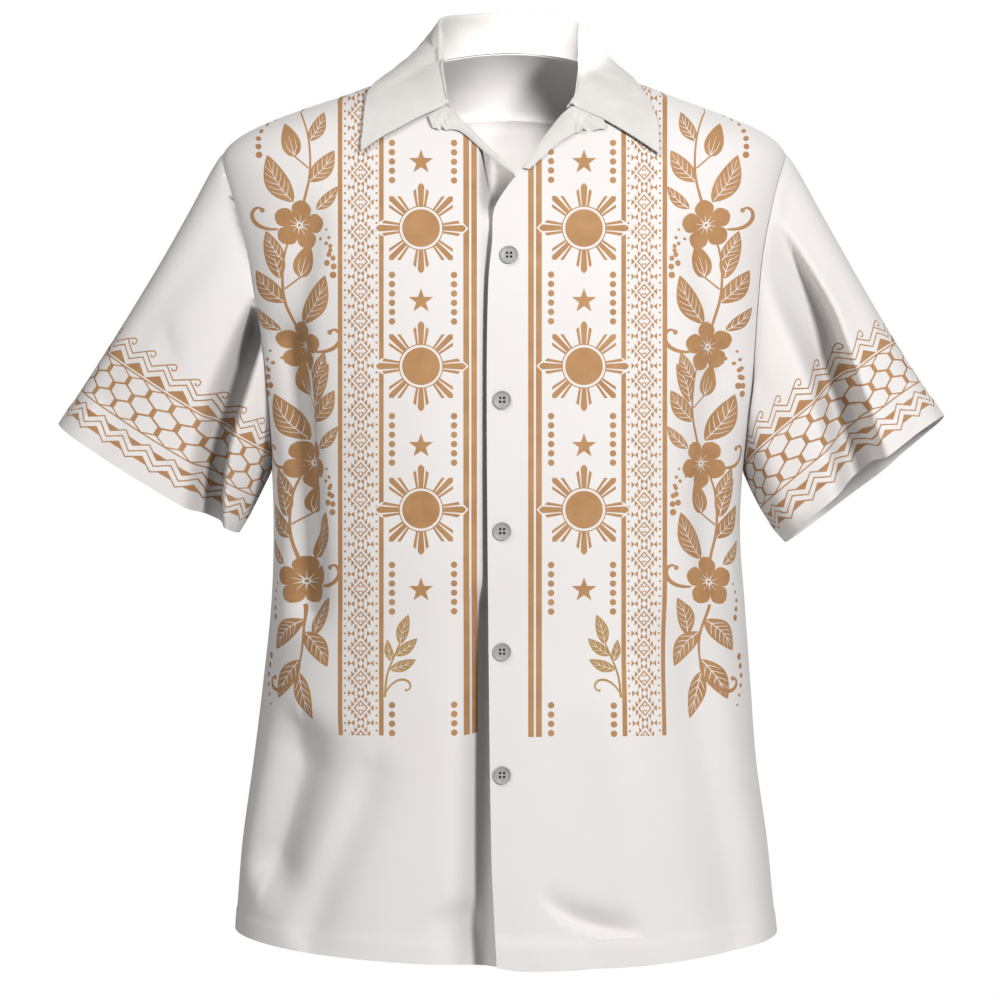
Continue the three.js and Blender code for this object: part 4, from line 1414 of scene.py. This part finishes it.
def spray(flip, size, angle):
    """One flower of the vine with the stem, leaves, buds, tendril and dots above it."""
    stem = curve([(-4, 16), (-11, 44), (-10, 76), (-2, 104)], 22)
    out = [(stroke(stem, np.linspace(2.6, 1.3, 22)), COPPER)]
    out += [(stroke(curve([(-10, 50), (-2, 57), (3, 61)], 6), 1.4), COPPER)]
    out += leaf((-10, 38), (-33, 66), 17, 2.5)
    out += leaf((4, 20), (27, 62), 21, -4, veins=5)
    out += bud((2, 60), (11, 90), 17)
    out += leaf((-10, 74), (-24, 100), 13, 2, veins=4)
    out += leaf((-16, 14), (-36, 34), 11, 2, veins=3)
    out += leaf((17, -48), (30, -14), 15, 2.5)
    out += curl((17, -4), (1, -0.15), 15, 1, width=3.6)
    out += dots([(15, 97), (27, 90), (34, 76), (34, 62)], 7, 1.1, 3.0)
    out += dots([(-25, -4), (-29, -18), (-26, -34)], 5, 1.2, 2.8)
    out += flower(0, 0, 22, angle)
    scale = np.array([-size if flip else size, size])
    return [(shape * scale, ink) for shape, ink in out]


def vine():
    """The side vine, with x outward from the band and y up from its top."""
    out = []
    for flip, x, y, size_of, angle in (
        (False, 30, -98, 0.9, 0.5),
        (True, 33, -196, 0.93, 0.2),
        (False, 30, -290, 0.9, 0.9),
        (True, 33, -384, 0.9, 0.35),
    ):
        out += [(shape + (x, y), ink) for shape, ink in spray(flip, size_of, angle)]
    out += [(stroke(curve([(32, -402), (26, -430), (30, -462)], 14), np.linspace(2.4, 1.0, 14)), COPPER)]
    out += leaf((29, -414), (52, -440), 17, 3, veins=5)
    out += leaf((26, -424), (6, -452), 16, -3)
    out += leaf((28, -446), (47, -478), 15, 2)
    out += leaf((29, -456), (20, -494), 13, 1)
    out += curl((34, -462), (0.6, -1), 12, 1, width=3.2)
    out += dots([(60, -446), (62, -464), (56, -484)], 6, 2.8, 1.1)
    return out


def sprig():
    """A small golden sprig beside the band, with x inward and y up."""
    out = [(stroke(curve([(1, 0), (3, 18), (10, 36), (17, 52)], 16), np.linspace(2, 1, 16)), GOLD)]
    out += leaf((13, 42), (20, 66), 10, 1, GOLD, 3, 0.6)
    out += leaf((9, 33), (27, 47), 9, -1, GOLD, 3, 0.6)
    out += leaf((5, 22), (26, 30), 9, -1, GOLD, 3, 0.6)
    out += leaf((7, 28), (3, 46), 7, 1, GOLD, 2, 0.6)
    out += curl((2, 4), (0.5, 1), 11, -1, GOLD, 1.9)
    return out


# Print of a front in the front view. Rows are pixels down from the top of the frame, and the rest is in
# millimetres, across from the middle of the neck.
PIXEL = 0.8
NECK_ROW = 56
BAND_TOP_ROW = 66
VINE_ROW = 102
STRIPE_TOP_ROW = 112
FIRST_UNIT_ROW = 112.96
SPRIG_ROW = 697
PRINT_LOW_ROW = 735.5
STAR_ROWS = (162, 301, 446, 590)
SUN_ROWS = (228.1, 366.2, 509.7)
DOT_ROWS = ((161.5, 5), (298.1, 6), (439.4, 6), (588.2, 6), (719.1, 4))
STRIPES = ((-31.8, -27.1), (-25.4, -20.9))
BAND_MIDDLE = -113.8
BAND_STRIPES = ((-18.4, -14.7), (14.6, 18.3))
SUN_MIDDLE = -65.6
DOT_COLUMNS = (-88.8, -39.2)
VINE_ACROSS = -134.6
MIRROR_SHIFT = -0.8


def row_height(row):
    """Height in the front view of a row that is counted down from the top of the frame."""
    return (NECK_ROW - row) * PIXEL


def front_print(side):
    """Everything printed on one front, laid out for the viewer's left one and mirrored for the other."""
    low = row_height(PRINT_LOW_ROW)
    high = row_height(BAND_TOP_ROW)
    out = [(bar(x0, low - 1, x1, row_height(STRIPE_TOP_ROW)), COPPER) for x0, x1 in STRIPES]
    middle = BAND_MIDDLE
    band = [(bar(middle + x0, low, middle + x1, high), COPPER) for x0, x1 in BAND_STRIPES]
    for k in range(-2, 22):
        band += woven_unit(middle, row_height(FIRST_UNIT_ROW) - BAND_PITCH * k)
    y = low + 4
    while y < high:
        for x in (middle - 12.6, middle + 12.6):
            band.append((disc(x, y, 0.95), COPPER))
        y += 5.97
    for shape, ink in band:
        kept = clipped(shape, 0, -1, -low)
        if len(kept) > 2:
            out.append((kept, ink))
    for row, count in DOT_ROWS:
        for k in range(count):
            at = row_height(row) + (k - (count - 1) / 2) * 7.45
            for x in DOT_COLUMNS:
                out.append((disc(x, at, 2.65), COPPER))
    for row in STAR_ROWS:
        out.append((star(SUN_MIDDLE, row_height(row), 10.3), COPPER))
    for row in SUN_ROWS:
        out += sun(SUN_MIDDLE, row_height(row))
    out += [(shape * (-1, 1) + (VINE_ACROSS, row_height(VINE_ROW)), ink) for shape, ink in vine()]
    sprig_place = (middle + BAND_STRIPES[1][1], row_height(SPRIG_ROW))
    out += [(shape + sprig_place, ink) for shape, ink in sprig()]
    if side > 0:
        out = [(shape * (-1, 1) + (MIRROR_SHIFT, 0), ink) for shape, ink in out]
    return [(pressed(split_edges(shape)), ink) for shape, ink in out]


def sleeve_print():
    """The bands round a sleeve, from the cuff up: zigzags, a honeycomb between lines, and hooked waves."""
    repeats = 20
    pitch = SLEEVE_GIRTH / repeats
    half = SLEEVE_GIRTH / 2
    rise = 7.4
    line = 1.1
    out = []

    def wave(base, width):
        turns = np.arange(2 * repeats + 1)
        points = np.stack([-half + turns * pitch / 2, base + rise * (turns % 2)], axis=1)
        out.append((stroke(points, width), COPPER))

    def repeat(points, ink, offset=0.0):
        for k in range(-1, repeats + 1):
            out.append((np.array(points, float) + (-half + (k + offset) * pitch, 0), ink))

    low = 10.4
    for k in range(3):
        wave(low + 5.4 * k, line)
    top = low + 10.8
    notch = [(-0.3, 0.6 * rise), (0, 0), (0.3, 0.6 * rise)]
    repeat([(x * pitch, top + y) for x, y in notch], COPPER)
    peak = [(x * pitch, low + rise - y) for x, y in notch]
    repeat(peak, COPPER, 0.5)
    net_low = 32.6
    net_high = 70.0
    out.append((bar(-half, net_low, half, net_high), COPPER))
    for r in range(3):
        centre = net_low + 8.0 + 10.7 * r
        cell = [(-9.2, -3.2), (0, -6.7), (9.2, -3.2), (9.2, 3.2), (0, 6.7), (-9.2, 3.2)]
        repeat([(x, centre + y) for x, y in cell], PLAIN, 0.5 * (r % 2))
    lens = [(-8.8, 1.1), (8.8, 1.1), (2.4, 3.7), (0, 4.4), (-2.4, 3.7)]
    repeat([(x, net_low + y) for x, y in lens], PLAIN, 0.5)
    repeat([(x, net_high - y) for x, y in lens], PLAIN, 0.5)
    base = net_high + 1.2
    repeat([(-pitch / 2, base), (pitch / 2, base), (0, base + rise)], COPPER, 0.5)
    wave(base + 5.2, line)
    wave(base + 10.3, line)
    hook = [(0, 0), (3.2, 2.1), (6.0, 3.6), (8.2, 3.3), (9.2, 1.5), (8.3, -0.6), (6.5, -1.2), (5.2, 0.1)]
    shape = stroke(curve(hook, 18), line)
    repeat([(x, base + 10.3 + rise + y) for x, y in shape], COPPER, 0.5)
    kept = []
    for shape, ink in out:
        shape = np.array(shape, float)
        if shape[:, 0].max() > -half and shape[:, 0].min() < half:
            kept.append((split_edges(shape), ink))
    return kept


def crease_lines():
    """Outlines without ink that make the cloth's mesh finer at the creases over the right hem."""
    run = np.linspace(0, 1, 40)
    crease = np.stack([CREASE_START + CREASE_LONG * run, crease_height(run)], axis=1)
    out = [stroke(crease, width) for width in (7.0, 2.4)] + [bar(60.2, -703.2, 63.0, -679)]
    return [(split_edges(shape, 3.0), PLAIN) for shape in out]


def hollow_lines():
    """The same for the hollow below the left lapel."""
    strips = ((-19.6, -17.0, -76), (-14.5, -12.0, -80), (-9.5, -7.0, -84))
    return [(split_edges(bar(x0, -124, x1, top), 3.0), PLAIN) for x0, x1, top in strips]


PRINTS = {"front_left": front_print(-1), "front_right": front_print(1)}
PRINTS["front_right"] += crease_lines()
PRINTS["front_left"] += hollow_lines()
PRINTS["sleeve_left"] = sleeve_print()
PRINTS["sleeve_right"] = [(shape * (-1, 1), ink) for shape, ink in sleeve_print()]

pieces = {}
for side, name in ((-1, "front_left"), (1, "front_right")):
    outline, seams = front_outline(side)
    pieces[name] = body_panel(name, "front", outline, seams, PRINTS[name], CLOTHS)
for name, upper in (("yoke", True), ("back", False)):
    outline, seams = back_outline(upper)
    pieces[name] = body_panel(name, "back", outline, seams, [], CLOTHS[:1])
for side, name in ((-1, "sleeve_left"), (1, "sleeve_right")):
    pieces[name] = sleeve_panel(side, PRINTS[name], CLOTHS)
# The collar and lapels get the greyer cloth, whose grey is painted shade.
pieces["collar"] = collar_piece((SHADED_COLLAR_CLOTH,))
for side, name in ((-1, "lapel_left"), (1, "lapel_right")):
    pieces[name] = lapel_piece(side, (SHADED_COLLAR_CLOTH,))
for index in range(len(BUTTONS)):
    pieces["button_%d" % (index + 1)] = button_piece(index, GREY_BUTTON, HOLE_SHADE)

for node, piece in pieces.items():
    piece.name = "sewn_" + node
    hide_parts(node)
    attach(piece, "root")


STITCH = 3.4
STITCH_LIFT = 0.12


def stitch_row(name, piece, l0, l1):
    """A row of stitches along a hem, as one mesh of small spindles."""
    face = "back" if piece == "back" else "front"
    count = int(abs(l1 - l0) / STITCH)
    step = (l1 - l0) / count
    start = l0 + step * (np.arange(count) + 0.12)
    high = np.full(count, HEM_LOW + HEM_DEEP)
    lift = hem_shape(high - HEM_LOW) + STITCH_LIFT
    a, b = (body_point(l, high, face, piece, lift) for l in (start, start + 0.76 * step))
    x, y = on_section(start, high, face)
    way, _ = outward(x, y, high)
    side = unit(np.cross(way, b - a))
    points = [a, b]
    for share in (0.16, 0.84):
        middle = a * (1 - share) + b * share
        for k in range(6):
            turn = k * math.pi / 3
            points.append(middle + (way * math.cos(turn) * 0.16 + side * math.sin(turn) * 0.26))
    rows = np.stack(points, axis=1).reshape(-1, 3) * MM
    faces = []
    for n in range(count):
        base = n * 14
        for k in range(6):
            m = (k + 1) % 6
            faces.append((base, base + 2 + m, base + 2 + k))
            faces.append((base + 2 + k, base + 2 + m, base + 8 + m, base + 8 + k))
            faces.append((base + 1, base + 8 + k, base + 8 + m))
    mesh = bpy.data.meshes.new(name)
    mesh.from_pydata([tuple(p) for p in rows], [], faces)
    mesh.shade_smooth()
    mesh.materials.append(THREAD)
    row = bpy.data.objects.new(name, mesh)
    bpy.context.scene.collection.objects.link(row)
    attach(row, "root")
    return row


def flat_size(piece):
    """Width, length and area of a piece's cut, in metres, from the layout of its outer side."""
    mesh = piece.data
    uv = np.zeros(len(mesh.loops) * 2, np.float32)
    mesh.uv_layers["cut"].data.foreach_get("uv", uv)
    uv = uv.reshape(-1, 2).astype(float)
    span = uv.max(axis=0) - uv.min(axis=0)
    area = sum(face.area for face in mesh.polygons) / 2
    return tuple(span), min(area, 0.999 * span[0] * span[1])


THREAD = node_material("white_thread", srgb(222, 218, 214), 0.8)[0]
STITCHES = {
    "front_left": stitch_row("stitched_hem_1", "front_left", -250, 10),
    "front_right": stitch_row("stitched_hem_2", "front_right", -2, 254),
    "back": stitch_row("stitched_hem_3", "back", -244, 248),
}
HANGS_FROM = {
    "front_left": ["sewn_yoke"],
    "front_right": ["sewn_yoke"],
    "back": ["sewn_yoke"],
    "sleeve_left": ["sewn_front_left", "sewn_back", "sewn_yoke"],
    "sleeve_right": ["sewn_front_right", "sewn_back", "sewn_yoke"],
    "yoke": ["sewn_front_left", "sewn_front_right"],
    "collar": ["sewn_yoke", "sewn_front_left", "sewn_front_right"],
    "lapel_left": ["sewn_front_left"],
    "lapel_right": ["sewn_front_right"],
}
for node, holders in HANGS_FROM.items():
    flat, area = flat_size(pieces[node])


def add_floor():
    deselect()
    bpy.ops.mesh.primitive_circle_add(vertices=96, radius=2.1, fill_type="NGON", location=(0, 0, -1.35))
    floor = bpy.context.active_object
    floor.name = "studio_floor"
    material, _, _, _ = node_material("studio_floor", (0.82, 0.82, 0.82), 0.9)
    floor.data.materials.append(material)


def aimed(name, data, place, aim):
    """A lamp or camera that looks from one place at another."""
    holder = bpy.data.objects.new(name, data)
    holder.location = place
    holder.rotation_euler = (Vector(aim) - Vector(place)).to_track_quat("-Z", "Y").to_euler()
    bpy.context.scene.collection.objects.link(holder)
    return holder


def add_light(name, place, aim, wide, power):
    lamp = bpy.data.lights.new(name, "AREA")
    lamp.size = wide
    lamp.energy = power
    aimed(name, lamp, place, aim)


def add_spot(name, place, aim, degrees, power):
    lamp = bpy.data.lights.new(name, "SPOT")
    lamp.spot_size = math.radians(degrees)
    lamp.spot_blend = 0.7
    lamp.shadow_soft_size = 0.03
    lamp.energy = power
    aimed(name, lamp, place, aim)


def add_world():
    world = bpy.data.worlds.new("studio")
    world.use_nodes = True
    bpy.context.scene.world = world
    nodes = world.node_tree.nodes
    links = world.node_tree.links
    nodes.clear()
    out = nodes.new("ShaderNodeOutputWorld")
    rays = nodes.new("ShaderNodeLightPath")
    mix = nodes.new("ShaderNodeMixShader")
    links.new(rays.outputs["Is Camera Ray"], mix.inputs["Fac"])
    for socket, strength, colour in ((1, 0.1, (0.98, 0.985, 1, 1)), (2, 1.0, (1, 1, 1, 1))):
        sky = nodes.new("ShaderNodeBackground")
        sky.inputs["Strength"].default_value = strength
        sky.inputs["Color"].default_value = colour
        links.new(sky.outputs[0], mix.inputs[socket])
    links.new(mix.outputs[0], out.inputs["Surface"])


def add_camera():
    aim = Vector((VIEW_MIDDLE[0] * MM, 0, VIEW_MIDDLE[1] * MM))
    data = bpy.data.cameras.new("camera")
    data.sensor_width = 36
    data.lens = 135
    place = aim + EYE_FAR * MM * Vector((0, -math.cos(EYE_TILT), math.sin(EYE_TILT)))
    bpy.context.scene.camera = aimed("camera", data, place, aim)


add_floor()
add_world()
add_light("key", (1.3, -2.45, 0.9), (0, 0, -0.35), 0.45, 72)
add_light("top", (-1.1, -1.2, 1.8), (0, 0, -0.3), 0.7, 20)
add_light("fill", (-1.5, -2.3, 0.1), (0, 0, -0.35), 1.8, 8)
add_spot("neck", (0.05, -0.06, 0.12), (-0.015, 0.08, -0.14), 40, 10.5)
add_light("back", (0.9, 2.5, 1.2), (0, 0, -0.35), 1.2, 30)
add_camera()
bpy.context.scene.view_settings.view_transform = "Standard"
bpy.context.scene.cycles.diffuse_bounces = 1
